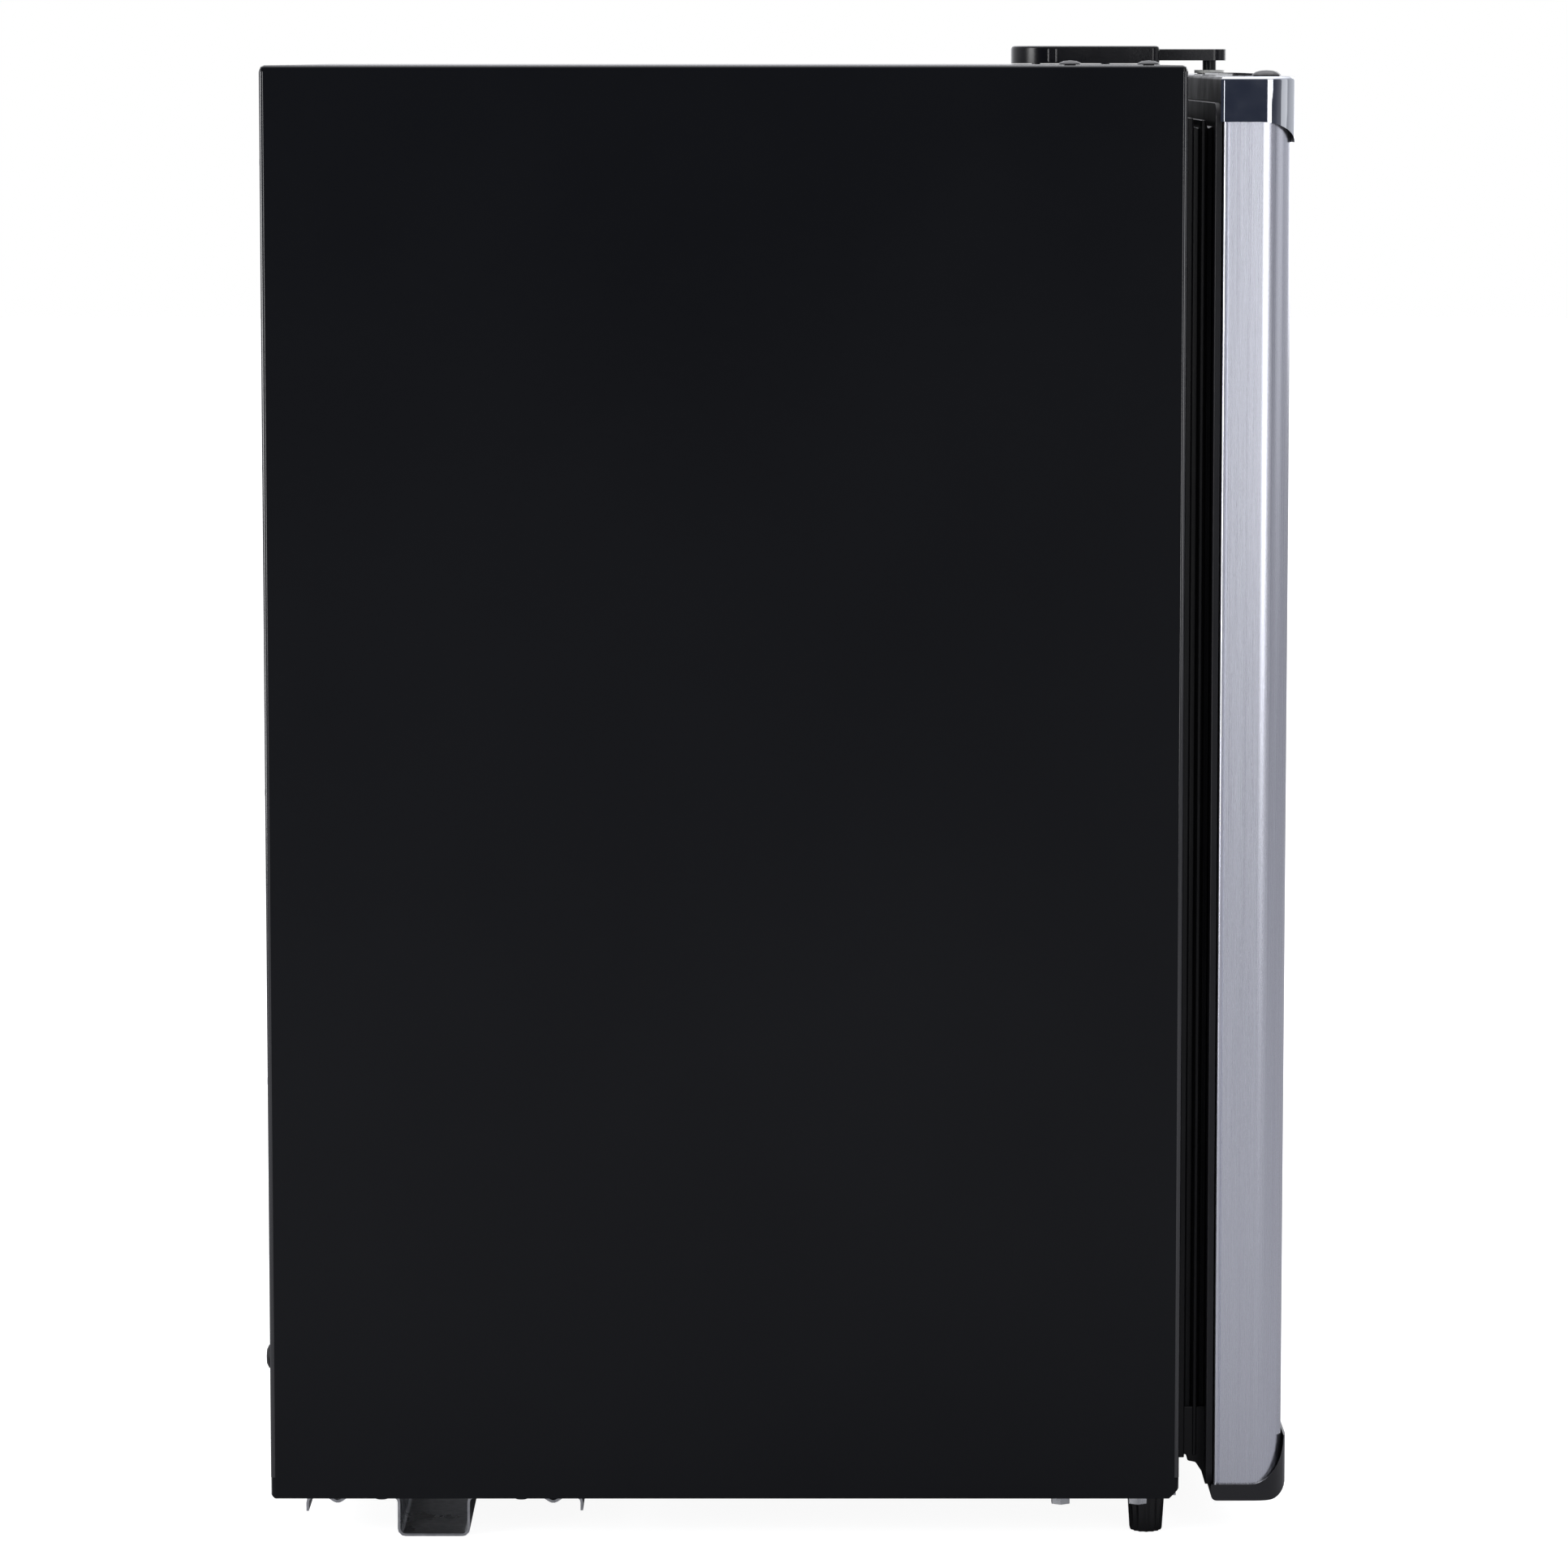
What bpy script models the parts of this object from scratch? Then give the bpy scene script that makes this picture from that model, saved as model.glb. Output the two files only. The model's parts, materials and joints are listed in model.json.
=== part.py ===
"""Mini fridge: one free-standing compact refrigerator with a freezer box inside.

Metres, +Z up. The origin is on the floor under the middle of the whole object. The door is at -Y and
is hinged at +X; the left side of the cabinet, as its user sees it, is at -X.
"""
import math

import bmesh
import bpy
from mathutils import Matrix, Vector

# ---------------------------------------------------------------- driving dimensions
WIDTH = 0.447             # cabinet and door, side to side
CABINET_DEPTH = 0.423     # cabinet front flange to back
CABINET_HEIGHT = 0.664    # bottom flange to top panel
FOOT_HEIGHT = 0.020       # floor to the cabinet's bottom flange
DOOR_REACH = 0.0504       # cabinet front to the foremost face of the door
BUMPER_REACH = 0.0023     # cabinet back to the tip of the wall spacers
GAP = 0.0003              # between pieces that touch
SHEET = 0.001             # painted steel sheet

HALF = WIDTH / 2
FRONT = DOOR_REACH - (CABINET_DEPTH + DOOR_REACH + BUMPER_REACH) / 2
REAR = FRONT + CABINET_DEPTH
BOTTOM = FOOT_HEIGHT
TOP = BOTTOM + CABINET_HEIGHT

# cabinet
FLANGE = 0.037            # width of the front frame, side to side of the mouth
REAR_FLANGE = 0.020
FRONT_RAIL = 0.030        # depth of the bottom flange behind the front frame
EDGE_RADIUS = 0.0024
CORNER_CUT = 0.0045       # lower front corner of each side
MOUTH_BOTTOM = 0.058
MOUTH_TOP = TOP - 0.038
MOUTH_HALF = HALF - FLANGE
INSIDE_HALF = HALF - SHEET - GAP
PLATE_Z = BOTTOM + SHEET + GAP       # underside of the bottom plate
BACK_PANEL_Y = REAR - SHEET - GAP - SHEET
BAY_FRONT = REAR - 0.150             # compressor bay
BAY_TOP = 0.180
BAY_SLOPE = 0.040                    # its front upper corner is cut at 45 degrees
COIL_SPACE = 0.0075                  # between the foam and the back panel

# liner
LINER_WALL = 0.0015
CAVITY_HALF = 0.1845
CAVITY_BOTTOM = 0.062
CAVITY_TOP = 0.642
CAVITY_REAR = 0.188
HUMP_FRONT = 0.050
HUMP_TOP = 0.208
CAVITY_RADIUS = 0.012
RIB_DEPTH = 0.006
RIB_FRONT = -0.080
RIB_REAR = 0.150
SHELF_LEVELS = (0.226, 0.301, 0.372)     # underside of a shelf in each pair of ribs
LINER_FLANGE_REACH = 0.012

# freezer
FREEZER_LEFT = -0.176
FREEZER_RIGHT = 0.104
FREEZER_BOTTOM = 0.540
FREEZER_TOP = 0.628
FREEZER_FRONT = -0.0795
FREEZER_REAR = 0.172
FREEZER_WALL = 0.002
FLAP_PIVOT_Z = FREEZER_TOP - 0.009
FLAP_THICKNESS = 0.004

# door
DOOR_BOTTOM = 0.019
DOOR_TOP = 0.679
DOOR_REAR_Y = FRONT - 0.0165             # rear edge of the sheet wrap
PANEL_FRONT_Y = FRONT - 0.0483
PANEL_HALF = HALF - 0.0016
PANEL_RADIUS = 0.014
CAP_FRONT_Y = FRONT - DOOR_REACH
CAP_REAR_Y = FRONT - 0.0150
TOP_CAP_SIDE = 0.0206                    # height of the top cap on the door's sides
TOP_CAP_FACE = 0.0300                    # and on its face
BOTTOM_CAP_SIDE = 0.0077
BOTTOM_CAP_FACE = 0.0290
PIN_REACH = 0.037                        # hinge axis, forward of the cabinet front
PIN_INSET = 0.020                        # hinge axis, in from the cabinet side
PIN_X = HALF - PIN_INSET
PIN_Y = FRONT - PIN_REACH
PIN_RADIUS = 0.0035
BUSH_BORE = 0.00362
BUSH_RADIUS = 0.0062
LINER_FACE_Y = FRONT - 0.0128            # the door liner's flange, seen from the cabinet
DOOR_LINER_PLATE = 0.003
LINER_BOTTOM_INSET = 0.0056              # door bottom to the liner's lower edge
LINER_TOP_INSET = 0.0120
DYKE_TIP_Y = -0.172
GASKET_HALF = HALF - 0.016
GASKET_BOTTOM = 0.036
GASKET_TOP = 0.660

# handle recess in the door's top edge
RECESS_HALF = 0.110
RECESS_FRONT_Y = FRONT - 0.0465
RECESS_REAR_Y = FRONT - 0.0280
RECESS_DEPTH = 0.017

# top hinge and its cover
COVER_TOP = TOP + 0.0093
BRACKET = 0.0025                         # hinge plates
ARM_BOTTOM = TOP + 0.0018
ARM_TOP = TOP + 0.0076
COVER_REAR = FRONT + 0.066
COVER_FRONT = FRONT - 0.010
ARM_TIP = PIN_Y - 0.0080

# underside
FOOT_X = HALF - 0.025
FOOT_Y = FRONT + 0.014
BOLT_X = HALF - 0.009
BOLT_YS = (FRONT + 0.01875, FRONT + 0.05475)
PLUG_X = HALF - 0.020
PLUG_YS = (FRONT + 0.017, FRONT + 0.053)
BASE_SHEET = 0.0012
BASE_HALF = HALF - 0.0095
BASE_TOP = BOTTOM - GAP

# cooling circuit
COMPRESSOR_X = 0.045
COMPRESSOR_Y = REAR - 0.074
COMPRESSOR_RADIUS = 0.078
COMPRESSOR_NARROWING = 0.72              # its depth against its width
GROMMET_HEIGHT = 0.012
COMPRESSOR_FOOT = BASE_TOP + GAP + GROMMET_HEIGHT + GAP     # underside of its mounting plate
COMPRESSOR_WELD = 0.098                  # where its two shells meet
COMPRESSOR_LID = 0.152
COIL_Y = BACK_PANEL_Y - COIL_SPACE / 2
COIL_RADIUS = 0.0024
COIL_LEFT = -0.150
COIL_RIGHT = 0.205
COIL_END = BAY_TOP - 0.030               # where the coil meets the tubes in the bay
SUCTION_X = -0.180
SUCTION_Z = 0.590

# bush for the mains lead, in the right rear flange
GLAND_X = HALF - REAR_FLANGE / 2
GLAND_Z = 0.046
GLAND_BORE = 0.0052

# bins hang in the door: bottom and top of each, and its reach into the cabinet
BINS = (("lower_bin", 0.092, 0.186, -0.122),
        ("middle_bin", 0.254, 0.338, -0.122),
        ("upper_bin", 0.400, 0.474, -0.122))
BIN_WALL = 0.0022
BIN_HALF = 0.1555
DYKE_INNER_HALF = 0.158
DYKE_OUTER_HALF = 0.176


# ---------------------------------------------------------------- materials and small tools
def material(name, colour, roughness, metallic=0.0):
    mat = bpy.data.materials.get(name) or bpy.data.materials.new(name)
    mat.use_nodes = True
    shader = mat.node_tree.nodes["Principled BSDF"]
    shader.inputs["Base Color"].default_value = (*colour, 1.0)
    shader.inputs["Roughness"].default_value = roughness
    shader.inputs["Metallic"].default_value = metallic
    return mat


BLACK_STEEL = ("black painted steel", (0.012, 0.013, 0.016), 0.42, 0.0)
BRUSHED = ("brushed steel", (0.58, 0.59, 0.66), 0.32, 1.0)
CHROME = ("chrome plated plastic", (0.80, 0.81, 0.84), 0.08, 1.0)
ZINC = ("zinc plated steel", (0.62, 0.63, 0.64), 0.35, 1.0)
GLOSS_BLACK = ("glossy black plastic", (0.010, 0.010, 0.012), 0.12, 0.0)
MATTE_BLACK = ("black plastic", (0.018, 0.018, 0.019), 0.50, 0.0)
RUBBER = ("black rubber", (0.020, 0.020, 0.021), 0.75, 0.0)
WHITE = ("white plastic", (0.80, 0.81, 0.82), 0.35, 0.0)
CLEAR = ("clear plastic", (0.80, 0.85, 0.87), 0.10, 0.0)
GLASS = ("shelf glass", (0.70, 0.80, 0.78), 0.05, 0.0)
FOAM = ("polyurethane foam", (0.78, 0.70, 0.50), 0.90, 0.0)
ALUMINIUM = ("rolled aluminium", (0.72, 0.73, 0.74), 0.38, 1.0)
COPPER = ("copper tube", (0.62, 0.30, 0.18), 0.30, 1.0)
DARK_STEEL = ("dark compressor paint", (0.015, 0.015, 0.016), 0.35, 0.0)
COLLAR = ("natural nylon", (0.72, 0.72, 0.68), 0.45, 0.0)


def add_object(name, mesh, finish, smooth=False):
    if smooth:
        mesh.shade_smooth()
        mesh.set_sharp_from_angle(angle=math.radians(35))
    obj = bpy.data.objects.new(name, mesh)
    bpy.context.scene.collection.objects.link(obj)
    if finish:
        mesh.materials.append(material(*finish))
    return obj


def mesh_from(name, verts, faces):
    mesh = bpy.data.meshes.new(name)
    mesh.from_pydata(verts, [], faces)
    bm = bmesh.new()
    bm.from_mesh(mesh)
    bmesh.ops.recalc_face_normals(bm, faces=bm.faces)
    bm.to_mesh(mesh)
    bm.free()
    return mesh


def box_data(lo, hi):
    (x0, y0, z0), (x1, y1, z1) = lo, hi
    verts = [(x0, y0, z0), (x1, y0, z0), (x1, y1, z0), (x0, y1, z0),
             (x0, y0, z1), (x1, y0, z1), (x1, y1, z1), (x0, y1, z1)]
    faces = [(0, 3, 2, 1), (4, 5, 6, 7), (0, 1, 5, 4), (1, 2, 6, 5), (2, 3, 7, 6), (3, 0, 4, 7)]
    return verts, faces


def prism_data(outline, axis, low, high):
    """Extrude a closed outline along X, Y or Z. The outline's pairs are the other two axes in order."""
    place = {"X": lambda a, b, t: (t, a, b),
             "Y": lambda a, b, t: (a, t, b),
             "Z": lambda a, b, t: (a, b, t)}[axis]
    count = len(outline)
    verts = [place(a, b, low) for a, b in outline] + [place(a, b, high) for a, b in outline]
    faces = [tuple(range(count)), tuple(range(2 * count - 1, count - 1, -1))]
    faces += [(i, (i + 1) % count, count + (i + 1) % count, count + i) for i in range(count)]
    return verts, faces


def turned_data(profile, centre, sides, axis="Z", start=0.0):
    """Revolve (radius, height) pairs; the first and last radius may be 0."""
    place = {"X": lambda a, b, t: (t, a, b),
             "Y": lambda a, b, t: (b, t, a),
             "Z": lambda a, b, t: (a, b, t)}[axis]
    verts, rings = [], []
    for radius, height in profile:
        if radius == 0:
            rings.append([len(verts)])
            verts.append(place(0, 0, height))
            continue
        rings.append(list(range(len(verts), len(verts) + sides)))
        for k in range(sides):
            turn = start + 2 * math.pi * k / sides
            verts.append(place(radius * math.cos(turn), radius * math.sin(turn), height))
    faces = []
    for low, high in zip(rings, rings[1:]):
        for k in range(sides):
            nxt = (k + 1) % sides
            if len(low) == 1:
                faces.append((low[0], high[nxt], high[k]))
            elif len(high) == 1:
                faces.append((low[k], low[nxt], high[0]))
            else:
                faces.append((low[k], low[nxt], high[nxt], high[k]))
    for ring in (rings[0], rings[-1]):
        if len(ring) > 1:
            faces.append(tuple(ring))
    verts = [tuple(Vector(v) + Vector(centre)) for v in verts]
    return verts, faces


def joined(*shapes):
    """Several closed shapes in one mesh, for a cutter or for one side of a union."""
    verts, faces = [], []
    for shape_verts, shape_faces in shapes:
        base = len(verts)
        verts += list(shape_verts)
        faces += [tuple(base + i for i in face) for face in shape_faces]
    return verts, faces


def solid(name, data, finish, smooth=False):
    return add_object(name, mesh_from(name, *data), finish, smooth)


def carve(obj, data, operation="DIFFERENCE"):
    """Cut a shape out of an object, or add it with UNION, by a Boolean with a hidden helper."""
    count = len(obj.modifiers)
    helper_name = f"helper_{obj.name}_{count}"
    helper = add_object(helper_name, mesh_from(helper_name, *data), None)
    helper.hide_render = True
    helper.display_type = "WIRE"
    modifier = obj.modifiers.new(f"{operation.lower()} {count}", "BOOLEAN")
    modifier.operation = operation
    modifier.solver = "EXACT"
    modifier.object = helper
    return obj


def round_edges(obj, radius, segments, wanted):
    """Bevel the mesh edges for which wanted(start, end) is true."""
    bm = bmesh.new()
    bm.from_mesh(obj.data)
    edges = [e for e in bm.edges if wanted(e.verts[0].co, e.verts[1].co)]
    bmesh.ops.bevel(bm, geom=edges, offset=radius, segments=segments, profile=0.5, affect="EDGES")
    bm.to_mesh(obj.data)
    bm.free()
    return obj


def arc(cx, cy, radius, start, end, steps):
    """Points on a circle from start to end degrees."""
    turns = [math.radians(start + (end - start) * i / steps) for i in range(steps + 1)]
    return [(cx + radius * math.cos(t), cy + radius * math.sin(t)) for t in turns]


def rounded_rectangle(x0, y0, x1, y1, radius, steps=4):
    return (arc(x1 - radius, y0 + radius, radius, -90, 0, steps)
            + arc(x1 - radius, y1 - radius, radius, 0, 90, steps)
            + arc(x0 + radius, y1 - radius, radius, 90, 180, steps)
            + arc(x0 + radius, y0 + radius, radius, 180, 270, steps))


def rounded_path(points, radius, steps=3):
    """An open path whose inner corners are arcs of the given radius."""
    out = [Vector(points[0])]
    for before, corner, after in zip(points, points[1:], points[2:]):
        corner = Vector(corner)
        back = (Vector(before) - corner).normalized()
        ahead = (Vector(after) - corner).normalized()
        half = back.angle(ahead) / 2
        reach = min(radius / math.tan(half), (Vector(before) - corner).length / 2,
                    (Vector(after) - corner).length / 2)
        centre = corner + (back + ahead).normalized() * reach / math.cos(half)
        first, last = corner + back * reach, corner + ahead * reach
        bend = reach * math.tan(half)
        for i in range(steps + 1):
            chord = first.lerp(last, i / steps) - centre
            out.append(centre + chord.normalized() * bend)
    out.append(Vector(points[-1]))
    return out


def ribbon(path, thickness):
    """The closed outline of a bent strip of even thickness around an open path."""
    path = [Vector(p) for p in path]
    left, right = [], []
    for i, point in enumerate(path):
        into = (path[i] - path[i - 1]).normalized() if i else (path[1] - path[0]).normalized()
        out = (path[i + 1] - path[i]).normalized() if i + 1 < len(path) else into
        normal_in, normal_out = Vector((-into.y, into.x)), Vector((-out.y, out.x))
        mitre = (normal_in + normal_out).normalized()
        offset = mitre * (thickness / 2) / max(mitre.dot(normal_in), 0.3)
        left.append(tuple(point + offset))
        right.append(tuple(point - offset))
    return left + right[::-1]


def ring_data(outer, inner, low, high):
    """A rectangular frame in XZ between two Y values; outer and inner are (x0, z0, x1, z1)."""
    verts = []
    for y in (low, high):
        for x0, z0, x1, z1 in (outer, inner):
            verts += [(x0, y, z0), (x1, y, z0), (x1, y, z1), (x0, y, z1)]
    faces = []
    for k in range(4):
        nxt = (k + 1) % 4
        faces.append((k, nxt, 4 + nxt, 4 + k))
        faces.append((8 + k, 12 + k, 12 + nxt, 8 + nxt))
        faces.append((k, 8 + k, 8 + nxt, nxt))
        faces.append((4 + k, 4 + nxt, 12 + nxt, 12 + k))
    return verts, faces


def smooth_points(controls, count):
    """A Catmull-Rom curve through the control points."""
    controls = [Vector(c) for c in controls]
    padded = [2 * controls[0] - controls[1]] + controls + [2 * controls[-1] - controls[-2]]
    out = []
    spans = len(controls) - 1
    for k in range(count):
        t = k * spans / (count - 1)
        i = min(int(t), spans - 1)
        t -= i
        p0, p1, p2, p3 = padded[i:i + 4]
        out.append(0.5 * (2 * p1 + (p2 - p0) * t + (2 * p0 - 5 * p1 + 4 * p2 - p3) * t * t
                          + (3 * p1 - p0 - 3 * p2 + p3) * t ** 3))
    return out


def tube(name, points, radius, finish, resolution=1):
    curve = bpy.data.curves.new(name, "CURVE")
    curve.dimensions = "3D"
    curve.bevel_depth = radius
    curve.bevel_resolution = resolution
    curve.use_fill_caps = True
    spline = curve.splines.new("POLY")
    spline.points.add(len(points) - 1)
    for slot, point in zip(spline.points, points):
        slot.co = (*point, 1.0)
    curve.materials.append(material(*finish))
    obj = bpy.data.objects.new(name, curve)
    bpy.context.scene.collection.objects.link(obj)
    return obj


def axis_empty(name, place):
    empty = bpy.data.objects.new(name, None)
    empty.location = place
    bpy.context.scene.collection.objects.link(empty)
    return empty


def ride(empty, *objects):
    """Parent objects to a joint's empty without moving them."""
    for obj in objects:
        obj.parent = empty
        obj.matrix_parent_inverse = Matrix.Translation(empty.location).inverted()


def round_hole(x, y, z0, z1, radius, sides=16):
    return turned_data([(radius, z0), (radius, z1)], (x, y, 0), sides)


# ---------------------------------------------------------------- cabinet body
def both_sides(places):
    return [(side * x, y) for side in (-1, 1) for x, y in places]


def under_holes(z0, z1):
    """Holes through the bottom for the bolts and the levelling feet."""
    bolts = [round_hole(x, y, z0, z1, 0.0033, 12) for x, y in both_sides([(BOLT_X, y) for y in BOLT_YS])]
    feet = [round_hole(x, y, z0, z1, 0.0045, 12) for x, y in both_sides([(FOOT_X, FOOT_Y)])]
    return joined(*bolts, *feet)


def top_holes(z0, z1):
    """Holes in the top panel: two plugged ones on the left, two for the hinge screws on the right."""
    places = both_sides([(PLUG_X, y) for y in PLUG_YS])
    return joined(*[round_hole(x, y, z0, z1, 0.0030, 12) for x, y in places])


def make_cabinet_shell():
    shell = solid("cabinet_shell", box_data((-HALF, FRONT, BOTTOM), (HALF, REAR, TOP)), BLACK_STEEL)

    def long_edge(a, b):
        return not (abs(a.z - BOTTOM) < 1e-6 and abs(b.z - BOTTOM) < 1e-6)
    round_edges(shell, EDGE_RADIUS, 2, long_edge)
    inner_top = TOP - SHEET
    carve(shell, box_data((-HALF + SHEET, FRONT + SHEET, BOTTOM + SHEET),
                          (HALF - SHEET, REAR - SHEET, inner_top)))
    over = 0.02
    rear_half = HALF - REAR_FLANGE
    mouth = box_data((-MOUTH_HALF, FRONT - over, MOUTH_BOTTOM), (MOUTH_HALF, FRONT + over, MOUTH_TOP))
    under = box_data((-MOUTH_HALF, FRONT + FRONT_RAIL, BOTTOM - over),
                     (MOUTH_HALF, REAR + over, BOTTOM + 0.002))
    windows = joined(mouth, under)
    carve(shell, windows)
    carve(shell, box_data((-rear_half, REAR - over, BOTTOM - over),
                          (rear_half, REAR + over, TOP - REAR_FLANGE)))
    reach = HALF + over
    front_cut = [(FRONT - over, BOTTOM - over), (FRONT + CORNER_CUT + over, BOTTOM - over),
                 (FRONT - over, BOTTOM + CORNER_CUT + over)]
    rear_cut = [(REAR + over, BOTTOM - over), (REAR + over, BOTTOM + 0.004 + over * 0.7),
                (REAR - 0.006 - over, BOTTOM - over)]
    carve(shell, joined(prism_data(front_cut, "X", -reach, reach), prism_data(rear_cut, "X", -reach, reach)))
    carve(shell, joined(under_holes(BOTTOM - 0.002, BOTTOM + 0.003), top_holes(TOP - 0.003, TOP + 0.002)))
    gland_hole = turned_data([(GLAND_BORE, REAR - 0.004), (GLAND_BORE, REAR + 0.004)],
                             (GLAND_X, 0, GLAND_Z), 16, "Y")
    carve(shell, gland_hole)
    return shell


def make_cord_gland():
    """The inlet bush that the mains lead would leave by, snapped into the right rear flange."""
    profile = [(0.0024, REAR - 0.010), (0.0049, REAR - 0.010), (0.0049, REAR + GAP),
               (0.0072, REAR + GAP), (0.0066, REAR + 0.0018), (0.0024, REAR + 0.0018)]
    verts, faces = turned_data(profile + [profile[0]], (GLAND_X, 0, GLAND_Z), 16, "Y")
    return solid("cord_gland", welded(verts, faces[:-2]), MATTE_BLACK, True)


def welded(verts, faces):
    """Merge the doubled ring where a turned profile closes on itself."""
    keep, index = [], []
    for vert in verts:
        match = next((i for i, k in enumerate(keep) if (Vector(k) - Vector(vert)).length < 1e-7), None)
        if match is None:
            match = len(keep)
            keep.append(vert)
        index.append(match)
    return keep, [tuple(index[i] for i in face) for face in faces]


def make_bottom_plate():
    """One bent sheet: the floor of the cabinet, then up and over the compressor bay."""
    mid = PLATE_Z + SHEET / 2
    path = rounded_path([(FRONT + SHEET + GAP, mid), (BAY_FRONT, mid), (BAY_FRONT, BAY_TOP - BAY_SLOPE),
                         (BAY_FRONT + BAY_SLOPE, BAY_TOP), (BACK_PANEL_Y - GAP, BAY_TOP)], 0.004)
    plate = solid("bottom_plate", prism_data(ribbon(path, SHEET), "X", -INSIDE_HALF, INSIDE_HALF), ZINC)
    slot = box_data((SUCTION_X - 0.006, COIL_Y - 0.0060, BAY_TOP - 0.005),
                    (SUCTION_X + 0.008, REAR, BAY_TOP + 0.005))
    coil_slots = [box_data((x - 0.005, COIL_Y - 0.0045, BAY_TOP - 0.005), (x + 0.005, REAR, BAY_TOP + 0.005))
                  for x in (COIL_LEFT, COIL_RIGHT)]
    carve(plate, joined(slot, *coil_slots))
    carve(plate, under_holes(PLATE_Z - 0.001, PLATE_Z + 0.003))
    return plate


def make_back_panel():
    panel = solid("back_panel", box_data((-INSIDE_HALF, BACK_PANEL_Y, BAY_TOP + 0.0012),
                                         (INSIDE_HALF, BACK_PANEL_Y + SHEET, TOP - SHEET - GAP)), BLACK_STEEL)
    return panel


def cavity_data(grow, front, radius):
    """The space inside the liner, grown outwards by a wall thickness: a box with a hump at the lower rear."""
    outline = [(front, CAVITY_BOTTOM - grow), (HUMP_FRONT + grow, CAVITY_BOTTOM - grow),
               (HUMP_FRONT + grow, HUMP_TOP - grow), (CAVITY_REAR + grow, HUMP_TOP - grow),
               (CAVITY_REAR + grow, CAVITY_TOP + grow), (front, CAVITY_TOP + grow)]
    half = CAVITY_HALF + grow
    shape = bmesh.new()
    verts, faces = prism_data(outline, "X", -half, half)
    points = [shape.verts.new(v) for v in verts]
    for face in faces:
        shape.faces.new([points[i] for i in face])
    bmesh.ops.recalc_face_normals(shape, faces=shape.faces)
    edges = [e for e in shape.edges if not all(abs(v.co.y - front) < 1e-6 for v in e.verts)]
    bmesh.ops.bevel(shape, geom=edges, offset=radius, segments=3, profile=0.5, affect="EDGES")
    shape.verts.index_update()
    data = ([tuple(v.co) for v in shape.verts], [tuple(v.index for v in f.verts) for f in shape.faces])
    shape.free()
    return data


def make_inner_liner():
    """Thermoformed liner with shelf ribs on both walls and a flange tucked behind the front frame."""
    liner = solid("inner_liner", cavity_data(LINER_WALL, FRONT + 0.0003, CAVITY_RADIUS + LINER_WALL), WHITE)
    flange_y = FRONT + SHEET + GAP
    reach = LINER_FLANGE_REACH
    flange = ring_data((-MOUTH_HALF - reach, MOUTH_BOTTOM - reach, MOUTH_HALF + reach, MOUTH_TOP + reach),
                       (-CAVITY_HALF - 0.0008, CAVITY_BOTTOM - 0.0008,
                        CAVITY_HALF + 0.0008, CAVITY_TOP + 0.0008),
                       flange_y, flange_y + LINER_WALL)
    carve(liner, flange, "UNION")
    carve(liner, cavity_data(0, FRONT - 0.02, CAVITY_RADIUS))
    ribs = []
    for level in SHELF_LEVELS:
        for side in (-1, 1):
            inner, outer = side * (CAVITY_HALF - RIB_DEPTH), side * (CAVITY_HALF + 0.0007)
            lo_x, hi_x = min(inner, outer), max(inner, outer)
            ribs.append(box_data((lo_x, RIB_FRONT, level - 0.0063), (hi_x, RIB_REAR, level - GAP)))
            ribs.append(box_data((lo_x, RIB_FRONT, level + 0.0050), (hi_x, RIB_REAR, level + 0.0095)))
    carve(liner, joined(*ribs), "UNION")
    hole = turned_data([(0.0042, CAVITY_REAR - 0.02), (0.0042, CAVITY_REAR + 0.02)],
                       (SUCTION_X, 0, SUCTION_Z), 12, "Y")
    carve(liner, hole)
    return liner


def make_insulation_foam():
    """Foamed-in-place block between the shell and the liner."""
    foam_front = FRONT + SHEET + GAP + LINER_WALL + GAP
    foam_rear = BACK_PANEL_Y - COIL_SPACE
    floor = PLATE_Z + SHEET + GAP
    bay = BAY_FRONT - SHEET / 2 - GAP
    bend = 0.0037
    slope_end = BAY_FRONT + BAY_SLOPE - 0.0006
    over_bay = BAY_TOP + SHEET / 2 + 0.0009
    outline = [(foam_front, floor), (bay - bend, floor), (bay, floor + bend),
               (bay, BAY_TOP - BAY_SLOPE + 0.0006), (slope_end, over_bay), (foam_rear, over_bay),
               (foam_rear, TOP - SHEET - GAP), (foam_front, TOP - SHEET - GAP)]
    foam = solid("insulation_foam", prism_data(outline, "X", -INSIDE_HALF, INSIDE_HALF), FOAM)
    carve(foam, cavity_data(LINER_WALL + GAP, FRONT - 0.02, CAVITY_RADIUS + LINER_WALL))
    pockets = joined(under_holes(PLATE_Z, 0.050), top_holes(TOP - 0.016, TOP + 0.002),
                     turned_data([(0.0042, 0.15), (0.0042, 0.26)], (SUCTION_X, 0, SUCTION_Z), 12, "Y"))
    carve(foam, pockets)
    return foam


# ---------------------------------------------------------------- cooling circuit
def condenser_points():
    """Horizontal lanes joined by half turns; the drop at each end reaches into the compressor bay."""
    lanes, pitch = 9, 0.050
    low = 0.232
    left, right = COIL_LEFT + 0.040, COIL_RIGHT - 0.040
    points = [(COIL_RIGHT, COIL_END), (COIL_RIGHT, low - 0.010), (COIL_RIGHT - 0.003, low - 0.003),
              (COIL_RIGHT - 0.010, low)]
    for lane in range(lanes):
        z = low + lane * pitch
        start, end, side = (right, left, -1) if lane % 2 == 0 else (left, right, 1)
        points += [(start, z), (end, z)]
        if lane < lanes - 1:
            for a in (30, 60, 90, 120, 150):
                turn = math.radians(a)
                points.append((end + side * pitch / 2 * math.sin(turn), z + pitch / 2 * (1 - math.cos(turn))))
    top = low + (lanes - 1) * pitch
    points += [(COIL_LEFT + 0.010, top), (COIL_LEFT + 0.003, top - 0.003), (COIL_LEFT, top - 0.010),
               (COIL_LEFT, COIL_END)]
    return [(x, COIL_Y, z) for x, z in points]


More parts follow.
